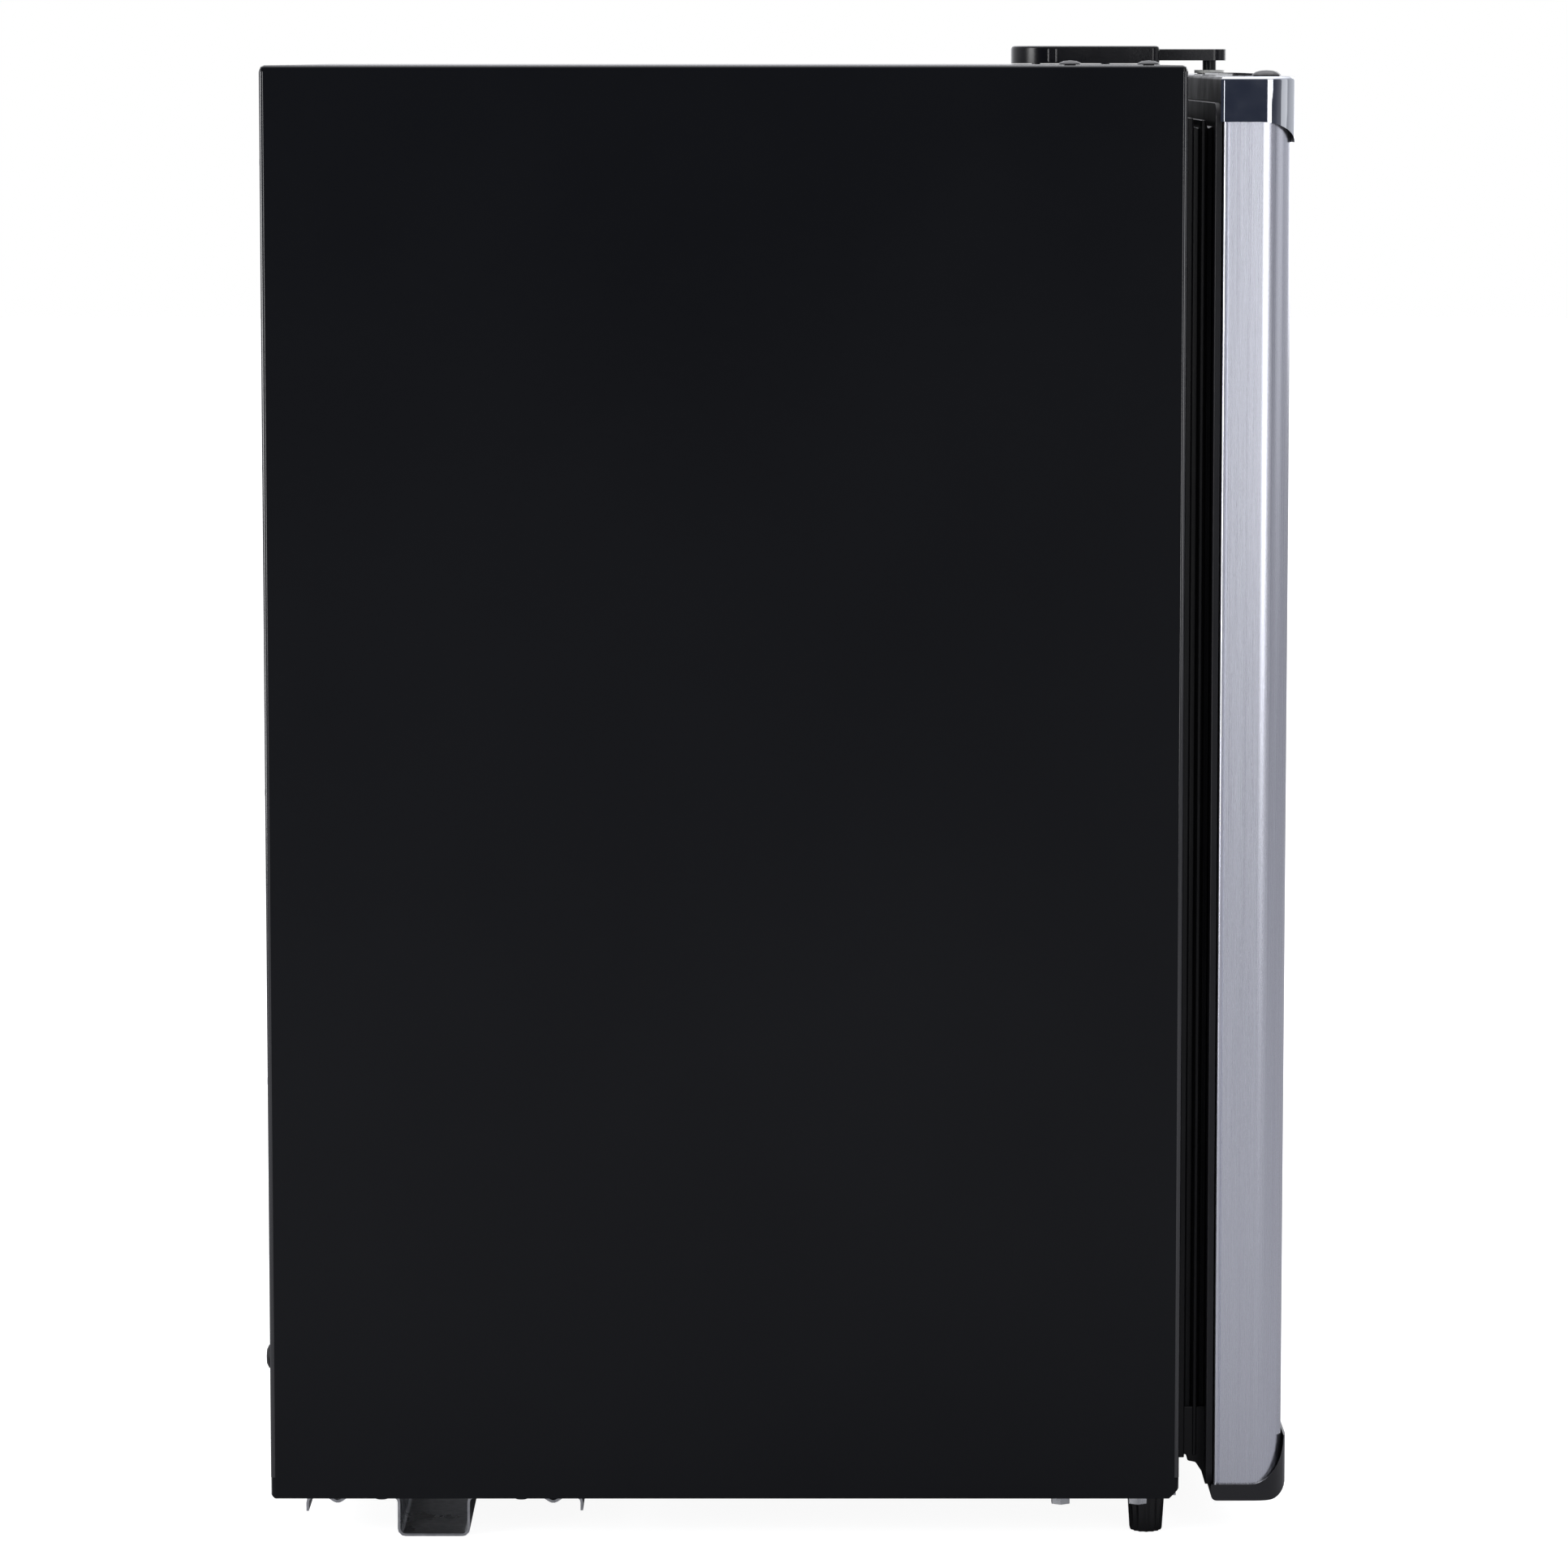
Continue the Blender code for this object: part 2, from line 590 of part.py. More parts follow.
def make_circuit():
    """Tubes, drier and coil. Each end stops a small gap short of the piece it is brazed to."""
    tube("condenser_coil", condenser_points(), COIL_RADIUS, DARK_STEEL)
    stub = COMPRESSOR_X - 0.050
    suction = smooth_points([(stub, COMPRESSOR_Y + 0.020, COMPRESSOR_LID + 0.001),
                             (stub - 0.004, COMPRESSOR_Y + 0.022, BAY_TOP - 0.014),
                             (stub - 0.035, COMPRESSOR_Y + 0.036, BAY_TOP - 0.010),
                             (SUCTION_X + 0.035, COIL_Y - 0.030, BAY_TOP - 0.010),
                             (SUCTION_X + 0.006, COIL_Y - 0.020, BAY_TOP - 0.011),
                             (SUCTION_X, COIL_Y - 0.004, BAY_TOP - 0.006),
                             (SUCTION_X, COIL_Y, BAY_TOP + 0.008),
                             (SUCTION_X, COIL_Y, BAY_TOP + 0.030)], 22)
    suction += [(SUCTION_X, COIL_Y, SUCTION_Z - 0.020)]
    bend = 0.006
    suction += [(SUCTION_X, COIL_Y - bend * (1 - math.cos(t)), SUCTION_Z - bend + bend * math.sin(t))
                for t in (0.0, 0.5, 1.0, math.pi / 2)]
    suction += [(SUCTION_X, 0.200, SUCTION_Z), (SUCTION_X, 0.186, SUCTION_Z)]
    tube("suction_tube", suction, 0.0030, COPPER)
    discharge = smooth_points([(COMPRESSOR_X + 0.050, COMPRESSOR_Y + 0.020, COMPRESSOR_LID - 0.004),
                               (COMPRESSOR_X + 0.054, COMPRESSOR_Y + 0.022, BAY_TOP - 0.018),
                               (COMPRESSOR_X + 0.084, COMPRESSOR_Y + 0.036, BAY_TOP - 0.016),
                               (COIL_RIGHT - 0.022, COIL_Y - 0.018, BAY_TOP - 0.046),
                               (COIL_RIGHT - 0.002, COIL_Y - 0.003, BAY_TOP - 0.046),
                               (COIL_RIGHT, COIL_Y, COIL_END - GAP)], 18)
    tube("discharge_tube", discharge, 0.0024, COPPER)
    top = COIL_END - GAP
    drier = [(0, top - 0.120), (0.0020, top - 0.120), (0.0024, top - 0.112), (0.0080, top - 0.102),
             (0.0080, top - 0.024), (0.0030, top - 0.012), (0.0030, top), (0, top)]
    return solid("filter_drier", turned_data(drier, (COIL_LEFT, COIL_Y - 0.0012, 0), 16), COPPER, True)


def squashed(data, centre, factor_y):
    """Narrow a turned shape along Y about its own axis."""
    verts, faces = data
    return [(x, centre[1] + (y - centre[1]) * factor_y, z) for x, y, z in verts], faces


def make_compressor():
    """Two drawn steel cups, each open at the weld, on a mounting plate with four rubber grommets."""
    centre = (COMPRESSOR_X, COMPRESSOR_Y, 0)
    radius, wall, narrow = COMPRESSOR_RADIUS, 0.003, COMPRESSOR_NARROWING
    floor = COMPRESSOR_FOOT + 0.002
    weld = COMPRESSOR_WELD
    cup = [(0, floor), (radius * 0.80, floor), (radius * 0.93, floor + 0.006), (radius * 0.97, floor + 0.018),
           (radius * 0.97, weld - 0.010), (radius + 0.0025, weld - 0.008), (radius + 0.0025, weld),
           (radius - wall, weld), (radius * 0.97 - wall, weld - 0.012),
           (radius * 0.97 - wall, floor + 0.020),
           (radius * 0.80, floor + wall), (0, floor + wall)]
    shape = squashed(turned_data(cup, centre, 24), centre, narrow)
    lower = solid("compressor_lower_shell", shape, DARK_STEEL, True)
    plate_outline = rounded_rectangle(COMPRESSOR_X - 0.092, COMPRESSOR_Y - 0.056, COMPRESSOR_X + 0.092,
                                      COMPRESSOR_Y + 0.056, 0.012, 3)
    carve(lower, prism_data(plate_outline, "Z", COMPRESSOR_FOOT, COMPRESSOR_FOOT + 0.0025), "UNION")
    low = weld + GAP
    lid = COMPRESSOR_LID
    cap = [(0, lid - wall), (radius * 0.40, lid - wall), (radius * 0.68, lid - 0.008),
           (radius * 0.86, lid - 0.019),
           (radius * 0.99 - wall, low + 0.018), (radius - wall, low), (radius, low),
           (radius * 0.99, low + 0.020), (radius * 0.90, lid - 0.016), (radius * 0.70, lid - 0.004),
           (radius * 0.40, lid), (0, lid)]
    data = turned_data(cap, centre, 24)
    solid("compressor_upper_shell", squashed(data, centre, narrow), DARK_STEEL, True)
    number = 0
    for dx in (-0.080, 0.080):
        for dy in (-0.044, 0.044):
            number += 1
            base = BASE_TOP + GAP
            profile = [(0, base), (0.0095, base), (0.0095, base + 0.004), (0.0070, base + 0.005),
                       (0.0070, base + 0.008), (0.0095, base + 0.009), (0.0095, base + GROMMET_HEIGHT),
                       (0, base + GROMMET_HEIGHT)]
            place = (COMPRESSOR_X + dx, COMPRESSOR_Y + dy, 0)
            solid(f"compressor_grommet_{number}", turned_data(profile, place, 12), RUBBER, True)
    right = COMPRESSOR_X - radius - 0.0028
    relay = solid("relay_cover", box_data((right - 0.034, COMPRESSOR_Y - 0.030, COMPRESSOR_FOOT + 0.012),
                                          (right, COMPRESSOR_Y + 0.030, COMPRESSOR_FOOT + 0.068)), MATTE_BLACK)
    round_edges(relay, 0.004, 2, lambda a, b: min(a.x, b.x) < right - 0.001)


def from_rear(distance):
    return REAR - distance


def make_base_plate():
    """Zinc plated plate under the bay: two stiffening ribs and the channel that stands on the floor."""
    mid = BASE_TOP - BASE_SHEET / 2
    floor = BASE_SHEET / 2
    rib = 0.0032
    corners = [(from_rear(0.0163), 0.0120), (from_rear(0.0163), mid), (from_rear(0.0256), mid),
               (from_rear(0.0304), mid - rib), (from_rear(0.0352), mid), (from_rear(0.0590), mid),
               (from_rear(0.0590), floor), (from_rear(0.0916), floor), (from_rear(0.0916), mid),
               (from_rear(0.1262), mid), (from_rear(0.1312), mid - rib), (from_rear(0.1362), mid),
               (from_rear(0.1445), mid), (from_rear(0.1445), 0.0123)]
    outline = ribbon(rounded_path(corners, 0.0030, 3), BASE_SHEET)
    return solid("compressor_base_plate", prism_data(outline, "X", -BASE_HALF, BASE_HALF), ZINC)


def hex_bolt_data(x, y, top, across_half, head_height, shank_radius, shank):
    """Hexagon head under `top`, with a round shank above; both are turned with one number of sides."""
    sides = 12
    verts, rings = [], []
    corners = [across_half / math.cos(math.radians(30)) if k % 2 == 0 else across_half for k in range(sides)]
    levels = [(corners, top - head_height), (corners, top), ([shank_radius] * sides, top),
              ([shank_radius] * sides, top + shank)]
    for radii, z in levels:
        rings.append(len(verts))
        for k, radius in enumerate(radii):
            turn = 2 * math.pi * k / sides
            verts.append((x + radius * math.cos(turn), y + radius * math.sin(turn), z))
    faces = [tuple(range(sides)), tuple(range(rings[-1], rings[-1] + sides))]
    for low, high in zip(rings, rings[1:]):
        faces += [(low + k, low + (k + 1) % sides, high + (k + 1) % sides, high + k) for k in range(sides)]
    return verts, faces


def make_underside():
    """Bolts, base plate screws, levelling feet and the bottom hinge."""
    for label, y in zip(("front", "rear"), BOLT_YS):
        data = hex_bolt_data(-BOLT_X, y, BOTTOM - GAP, 0.0042, 0.0036, 0.0028, 0.020)
        solid(f"left_bolt_{label}", data, ZINC)
    for label, reach in (("rear", 0.0505), ("front", 0.1160)):
        plate_bottom = BASE_TOP - BASE_SHEET
        seat = plate_bottom - GAP
        head = [(0, seat - 0.0024), (0.0028, seat - 0.0022), (0.0048, seat - 0.0008),
                (0.0048, seat), (0, seat)]
        data = turned_data(head, (-BASE_HALF + 0.009, from_rear(reach), 0), 12)
        solid(f"base_screw_{label}", data, ZINC, True)
    hinge_top = BOTTOM - GAP
    drop = 0.0035
    mid = hinge_top - BRACKET / 2
    path = rounded_path([(FRONT + 0.062, mid), (FRONT - 0.0015, mid), (FRONT - 0.0050, mid - drop),
                         (PIN_Y - 0.009, mid - drop)], 0.0015, 2)
    inner = HALF - 0.0435
    bracket = solid("bottom_hinge_bracket", prism_data(ribbon(path, BRACKET), "X", inner, HALF - 0.002), ZINC)
    bolt_holes = [round_hole(BOLT_X, y, 0.005, 0.025, 0.0033, 12) for y in BOLT_YS]
    carve(bracket, joined(round_hole(FOOT_X, FOOT_Y, 0.005, 0.025, 0.0102, 20),
                          round_hole(PIN_X, PIN_Y, 0.005, 0.025, PIN_RADIUS + GAP, 20), *bolt_holes))
    pin_foot = mid - drop - BRACKET / 2
    profile = [(0, pin_foot), (PIN_RADIUS, pin_foot), (PIN_RADIUS, DOOR_BOTTOM + 0.0095),
               (PIN_RADIUS * 0.7, DOOR_BOTTOM + 0.0110), (0, DOOR_BOTTOM + 0.0110)]
    solid("bottom_hinge_pin", turned_data(profile, (PIN_X, PIN_Y, 0), 20), ZINC, True)
    for label, y in zip(("front", "rear"), BOLT_YS):
        data = hex_bolt_data(BOLT_X, y, hinge_top - BRACKET - GAP, 0.0042, 0.0036, 0.0028, 0.022)
        solid(f"bottom_hinge_bolt_{label}", data, ZINC)
    for label, side in (("left", -1), ("right", 1)):
        make_foot(label, side)


def make_foot(label, side):
    """Fluted plastic foot on a stem; it unscrews downwards to level the cabinet."""
    ribs = 14
    levels = [(0.0072, 0.0), (0.0078, 0.0010), (0.0089, FOOT_HEIGHT - 0.0022), (0.0092, FOOT_HEIGHT - GAP)]
    x, y = side * FOOT_X, FOOT_Y
    verts, rings, sides = [], [], 2 * ribs
    for number, (radius, z) in enumerate(levels):
        rings.append(len(verts))
        depth = 0.0009 if number < len(levels) - 1 else 0.0
        for k in range(sides):
            turn = 2 * math.pi * k / sides
            reach = radius - (depth if k % 2 else 0.0)
            verts.append((x + reach * math.cos(turn), y + reach * math.sin(turn), z))
    for z in (FOOT_HEIGHT - GAP, 0.047):
        rings.append(len(verts))
        for k in range(sides):
            turn = 2 * math.pi * k / sides
            verts.append((x + 0.0040 * math.cos(turn), y + 0.0040 * math.sin(turn), z))
    faces = [tuple(range(sides)), tuple(range(rings[-1], rings[-1] + sides))]
    for low, high in zip(rings, rings[1:]):
        faces += [(low + k, low + (k + 1) % sides, high + (k + 1) % sides, high + k) for k in range(sides)]
    foot = solid(f"foot_{label}", (verts, faces), MATTE_BLACK)
    ride(axis_empty(f"foot_{label}_axis", (x, y, 0)), foot)


def make_top_hinge():
    """Bracket, pin, two screws and the plastic cover over them, and the plugs in the unused holes."""
    mid_low, mid_high = TOP + GAP + BRACKET / 2, ARM_BOTTOM + 0.0026
    path = rounded_path([(FRONT + 0.060, mid_low), (FRONT + 0.004, mid_low), (FRONT - 0.001, mid_high),
                         (PIN_Y - 0.0055, mid_high)], 0.002, 2)
    strip = prism_data(ribbon(path, BRACKET), "X", PIN_X - 0.0105, PIN_X + 0.0105)
    bracket = solid("top_hinge_bracket", strip, ZINC)
    screw_holes = [round_hole(PLUG_X, y, TOP - 0.005, TOP + 0.010, 0.0030, 12) for y in PLUG_YS]
    pin_hole = round_hole(PIN_X, PIN_Y, TOP - 0.010, TOP + 0.010, PIN_RADIUS + GAP, 20)
    carve(bracket, joined(pin_hole, *screw_holes))
    profile = [(0, DOOR_TOP - 0.0125), (PIN_RADIUS * 0.7, DOOR_TOP - 0.0125), (PIN_RADIUS, DOOR_TOP - 0.0110),
               (PIN_RADIUS, ARM_BOTTOM + 0.0036), (0, ARM_BOTTOM + 0.0036)]
    solid("top_hinge_pin", turned_data(profile, (PIN_X, PIN_Y, 0), 20), MATTE_BLACK, True)
    for label, y in zip(("front", "rear"), PLUG_YS):
        seat = TOP + GAP + BRACKET + GAP
        screw = [(0, TOP - 0.012), (0.0022, TOP - 0.012), (0.0022, seat), (0.0050, seat),
                 (0.0046, seat + 0.0018), (0.0020, seat + 0.0026), (0, seat + 0.0026)]
        solid(f"top_hinge_screw_{label}", turned_data(screw, (PLUG_X, y, 0), 12), ZINC, True)
        plug = [(0, TOP - 0.008), (0.0022, TOP - 0.008), (0.0026, TOP + GAP), (0.00535, TOP + GAP),
                (0.0050, TOP + 0.0010), (0.0030, TOP + 0.0019), (0, TOP + 0.0022)]
        solid(f"top_plug_{label}", turned_data(plug, (-PLUG_X, y, 0), 16), GLOSS_BLACK, True)
    make_hinge_cover()


def cover_outline(x0, x1, inset):
    """Outline of the cover's box, drawn in by inset: wide turns behind, small ones in front."""
    behind, before = 0.018, 0.004
    return (arc(x1 - behind, COVER_REAR - behind, behind - inset, 0, 90, 8)
            + arc(x0 + behind, COVER_REAR - behind, behind - inset, 90, 180, 8)
            + arc(x0 + before, COVER_FRONT + before, before - inset, 180, 270, 3)
            + arc(x1 - before, COVER_FRONT + before, before - inset, 270, 360, 3))


def make_hinge_cover():
    """A box over the bracket with a narrower arm over the door; hollow and open underneath."""
    x0, x1 = HALF - 0.0440, HALF - 0.0012
    arm0, arm1 = PIN_X - 0.0150, PIN_X + 0.0150
    wall = 0.0014
    base = TOP + GAP
    body = prism_data(cover_outline(x0, x1, 0), "Z", base, COVER_TOP)
    cover = solid("top_hinge_cover", body, MATTE_BLACK, True)
    bevel_top = 0.0016
    round_edges(cover, bevel_top, 2, lambda a, b: a.z > COVER_TOP - 1e-5 and b.z > COVER_TOP - 1e-5)
    turn = 0.0070
    tip = (arc(arm0 + turn, ARM_TIP + turn, turn, 180, 270, 4)
           + arc(arm1 - turn, ARM_TIP + turn, turn, 270, 360, 4)
           + [(arm1, FRONT + 0.004), (arm0, FRONT + 0.004)])
    carve(cover, prism_data(tip, "Z", ARM_BOTTOM, ARM_TOP), "UNION")
    inner_body = cover_outline(x0, x1, wall)
    inner_tip = (arc(arm0 + turn, ARM_TIP + turn, turn - wall, 180, 270, 4)
                 + arc(arm1 - turn, ARM_TIP + turn, turn - wall, 270, 360, 4)
                 + [(arm1 - wall, FRONT + 0.002), (arm0 + wall, FRONT + 0.002)])
    carve(cover, prism_data(inner_body, "Z", base - 0.01, COVER_TOP - wall))
    carve(cover, prism_data(inner_tip, "Z", ARM_BOTTOM - 0.004, ARM_TOP - wall))
    return cover


def make_rear_bumpers():
    for label, side in (("left", -1), ("right", 1)):
        radius = 0.0058
        profile = [(0, REAR + GAP), (radius, REAR + GAP), (radius * 0.95, REAR + 0.0010),
                   (radius * 0.60, REAR + 0.0020), (0, REAR + BUMPER_REACH)]
        place = (side * (HALF - REAR_FLANGE / 2), 0, 0.0855)
        solid(f"rear_bumper_{label}", turned_data(profile, place, 16, "Y"), RUBBER, True)


# ---------------------------------------------------------------- inside the cabinet
def make_freezer():
    """Aluminium box hung from the ceiling, a plastic frame on its mouth and a flap hinged in the frame."""
    box = solid("freezer_box", box_data((FREEZER_LEFT, FREEZER_FRONT, FREEZER_BOTTOM),
                                        (FREEZER_RIGHT, FREEZER_REAR, FREEZER_TOP)), ALUMINIUM)
    round_edges(box, 0.006, 2, lambda a, b: abs(a.y - b.y) > 0.1)
    post_low, post_high = FREEZER_TOP - 0.001, CAVITY_TOP - GAP
    posts = [box_data((x - 0.006, y - 0.010, post_low), (x + 0.006, y + 0.010, post_high))
             for x in (FREEZER_LEFT + 0.030, FREEZER_RIGHT - 0.030) for y in (-0.050, 0.130)]
    carve(box, joined(*posts), "UNION")
    wall = FREEZER_WALL
    hollow = rounded_rectangle(FREEZER_LEFT + wall, FREEZER_BOTTOM + wall,
                               FREEZER_RIGHT - wall, FREEZER_TOP - wall, 0.0045, 2)
    carve(box, prism_data(hollow, "Y", FREEZER_FRONT - 0.01, FREEZER_REAR - wall))

    left, right = FREEZER_LEFT - 0.003, FREEZER_RIGHT + 0.003
    low, high = FREEZER_BOTTOM - 0.003, FREEZER_TOP + 0.005
    front, rear = FREEZER_FRONT - 0.0070, FREEZER_FRONT - GAP
    opening = (left + 0.010, low + 0.010, right - 0.010, high - 0.012)
    frame = solid("freezer_frame", ring_data((left, low, right, high), opening, front, rear), WHITE)
    flap_front, flap_rear = front - GAP - FLAP_THICKNESS, front - GAP
    lug_z = FLAP_PIVOT_Z
    lugs = []
    for lug_x in (left, right - 0.006):
        lugs.append(box_data((lug_x, flap_front - 0.0035, lug_z - 0.0055),
                             (lug_x + 0.006, rear - 0.001, lug_z + 0.0100)))
    carve(frame, joined(*lugs), "UNION")
    pivot_y = flap_front + FLAP_THICKNESS / 2 - 0.0002
    sockets = [turned_data([(0.00195, x0), (0.00195, x1)], (0, pivot_y, lug_z), 16, "X")
               for x0, x1 in ((left + 0.002, left + 0.007), (right - 0.007, right - 0.002))]
    carve(frame, joined(*sockets))
    inner_left, inner_right = left + 0.006 + GAP, right - 0.006 - GAP
    flap_low = low + 0.001
    plate = box_data((inner_left, flap_front, flap_low), (inner_right, flap_rear, lug_z))
    flap = solid("freezer_flap", plate, WHITE)
    top_bead = turned_data([(FLAP_THICKNESS / 2, inner_left), (FLAP_THICKNESS / 2, inner_right)],
                           (0, pivot_y, lug_z), 12, "X")
    carve(flap, top_bead, "UNION")
    trunnions = [turned_data([(0.0017, x0), (0.0017, x1)], (0, pivot_y, lug_z), 12, "X")
                 for x0, x1 in ((left + 0.0025, inner_left + 0.002), (inner_right - 0.002, right - 0.0025))]
    lip = box_data((-0.076, flap_front - 0.007, flap_low + 0.004), (0.004, flap_front + 0.001, flap_low + 0.008))
    carve(flap, joined(*trunnions, lip), "UNION")
    ride(axis_empty("freezer_flap_axis", (0, pivot_y, lug_z)), flap)


def make_drip_tray():
    lo = (FREEZER_LEFT + 0.004, FREEZER_FRONT - 0.004, 0.5165)
    hi = (FREEZER_RIGHT - 0.004, FREEZER_REAR - 0.012, 0.5340)
    tray = solid("drip_tray", box_data(lo, hi), CLEAR)
    round_edges(tray, 0.004, 2, lambda a, b: abs(a.z - b.z) > 0.01)
    wall = 0.0020
    inner = (lo[0] + wall, lo[1] + wall, hi[0] - wall, hi[1] - wall)
    carve(tray, box_data((inner[0], inner[1], lo[2] + wall), (inner[2], inner[3], hi[2] + 0.02)))
    rim = ring_xy((lo[0] - 0.004, lo[1], hi[0] + 0.004, hi[1]), inner, hi[2] - 0.0016, hi[2])
    carve(tray, rim, "UNION")
    ride(axis_empty("drip_tray_axis", (0, lo[1], hi[2])), tray)


def ring_xy(outer, inner, low, high):
    """A rectangular frame in XY between two Z values."""
    verts, faces = ring_data(outer, inner, low, high)
    return [(x, z, y) for x, y, z in verts], faces


def make_thermostat():
    """Control box on the right wall beside the freezer, with a knob on its face."""
    lo = (0.1145, -0.070, 0.562)
    hi = (CAVITY_HALF - GAP, 0.010, 0.628)
    housing = solid("thermostat_housing", box_data(lo, hi), WHITE)
    round_edges(housing, 0.006, 2,
                lambda a, b: min(a.x, b.x) < lo[0] + 0.001 or min(a.y, b.y) < lo[1] + 0.001)
    x, z = (lo[0] + hi[0]) / 2, (lo[2] + hi[2]) / 2
    socket = turned_data([(0.0040, lo[1] - 0.005), (0.0040, lo[1] + 0.012)], (x, 0, z), 16, "Y")
    carve(housing, socket)
    face = lo[1]
    knob = turned_data([(0, face - 0.014), (0.0165, face - 0.014), (0.0180, face - 0.0125),
                        (0.0190, face - 0.0006), (0.0036, face - 0.0006), (0.0036, face + 0.008),
                        (0, face + 0.008)], (x, 0, z), 24, "Y")
    knob_object = solid("thermostat_knob", knob, WHITE, True)
    pointer = box_data((x - 0.0013, lo[1] - 0.0155, z + 0.003), (x + 0.0013, lo[1] - 0.010, z + 0.0165))
    carve(knob_object, pointer, "UNION")
    ride(axis_empty("thermostat_knob_axis", (x, lo[1], z)), knob_object)


def make_shelf(name, level):
    """Glass plate on the liner's ribs, with a plastic trim clipped along its front edge."""
    half = CAVITY_HALF - 0.0012
    front, rear, glass = -0.085, 0.170, 0.004
    plate = solid(name, box_data((-half, front, level), (half, rear, level + glass)), GLASS)
    trim_front = front - 0.010
    trim = solid(f"{name}_trim", box_data((-half + 0.007, trim_front, level - 0.0060),
                                          (half - 0.007, front + 0.008, level + glass + 0.0080)), WHITE)
    round_edges(trim, 0.003, 2, lambda a, b: abs(a.x - b.x) > 0.1 and a.y < front and b.y < front)
    slot = box_data((-half - 0.01, front - GAP, level - GAP), (half + 0.01, rear, level + glass + GAP))
    back_cut = box_data((-half - 0.01, front + 0.0085, level - 0.02), (half + 0.01, front + 0.02, level + 0.03))
    carve(trim, joined(slot, back_cut))
    ride(axis_empty(f"{name}_axis", (0, front, level)), plate, trim)


# ---------------------------------------------------------------- door
def door_outline(half, front_y, rear_y, radius, steps=10):
    """The door in plan: square at the rear, rounded at the two front corners."""
    return (arc(half - radius, front_y + radius, radius, -90, 0, steps) + [(half, rear_y), (-half, rear_y)]
            + arc(-half + radius, front_y + radius, radius, 180, 270, steps))


def make_door_panel():
    """One steel sheet wrapped around both sides and the face, with its rear edges turned in."""
    mid = SHEET / 2
    half, front_y, rear_y = PANEL_HALF - mid, PANEL_FRONT_Y + mid, DOOR_REAR_Y - mid
    lip = 0.014
    radius = PANEL_RADIUS - mid
    path = ([(-half + lip, rear_y), (-half, rear_y)]
            + arc(-half + radius, front_y + radius, radius, 180, 270, 12)
            + arc(half - radius, front_y + radius, radius, 270, 360, 12)
            + [(half, rear_y), (half - lip, rear_y)])
    outline = ribbon(path, SHEET)
    return solid("door_panel", prism_data(outline, "Z", DOOR_BOTTOM + 0.003, DOOR_TOP - 0.006), BRUSHED, True)


def cap_notch(side_z, face_z, beyond):
    """Everything between the cap's lower edge and the panel, in the YZ plane: level, then a quarter oval."""
    start, end = FRONT - 0.0330, CAP_FRONT_Y + 0.0010
    points = []
    steps = 10
    for k in range(steps + 1):
        turn = math.pi / 2 * k / steps
        level = side_z + (face_z - side_z) * (1 - math.cos(turn))
        points.append((start + (end - start) * math.sin(turn), level))
    front, rear = CAP_FRONT_Y - 0.02, CAP_REAR_Y + 0.02
    return [(rear, side_z)] + points + [(front, face_z), (front, beyond), (rear, beyond)]


def pin_bores(z0, z1, radius):
    return joined(*[round_hole(side * PIN_X, PIN_Y, z0, z1, radius, 20) for side in (-1, 1)])


def liner_opening(low, high):
    """The rear of a cap is open where the liner's flange lies."""
    half = PANEL_HALF + GAP
    return box_data((-half, DOOR_REAR_Y - 0.001, low), (half, CAP_REAR_Y + 0.01, high))


def make_top_cap():
    """Chrome cap over the door's upper end; its face hangs lower than its sides."""
    face_z = DOOR_TOP - TOP_CAP_FACE
    outline = door_outline(HALF, CAP_FRONT_Y, CAP_REAR_Y, PANEL_RADIUS + 0.0008)
    cap = solid("door_top_cap", prism_data(outline, "Z", face_z, DOOR_TOP), CHROME, True)
    round_edges(cap, 0.0018, 3, lambda a, b: min(a.z, b.z) > DOOR_TOP - 1e-5)
    notch = cap_notch(DOOR_TOP - TOP_CAP_SIDE, face_z, face_z - 0.01)
    carve(cap, prism_data(notch, "X", -HALF - 0.01, HALF + 0.01))
    pocket = door_outline(PANEL_HALF + GAP, PANEL_FRONT_Y - GAP, DOOR_REAR_Y + GAP, PANEL_RADIUS)
    carve(cap, prism_data(pocket, "Z", face_z - 0.01, DOOR_TOP - 0.0030))
    carve(cap, liner_opening(face_z - 0.01, DOOR_TOP - LINER_TOP_INSET + GAP))
    recess = rounded_rectangle(-RECESS_HALF, RECESS_FRONT_Y, RECESS_HALF, RECESS_REAR_Y, 0.0085, 6)
    carve(cap, joined(prism_data(recess, "Z", face_z - 0.01, DOOR_TOP + 0.01),
                      pin_bores(DOOR_TOP - 0.01, DOOR_TOP + 0.01, BUSH_RADIUS + GAP)))
    return cap


def make_handle_insert():
    """Black cup set into the cap: fingers hook into it to pull the door."""
    rim = GAP
    floor = DOOR_TOP - RECESS_DEPTH
    outer = rounded_rectangle(-RECESS_HALF + rim, RECESS_FRONT_Y + rim,
                              RECESS_HALF - rim, RECESS_REAR_Y - rim, 0.0082, 6)
    wall = 0.0013 + rim
    inner = rounded_rectangle(-RECESS_HALF + wall, RECESS_FRONT_Y + wall,
                              RECESS_HALF - wall, RECESS_REAR_Y - wall, 0.0068, 6)
    cup = solid("handle_insert", prism_data(outer, "Z", floor, DOOR_TOP + 0.0008), GLOSS_BLACK, True)
    carve(cup, prism_data(inner, "Z", floor + 0.0014, DOOR_TOP + 0.01))
    return cup


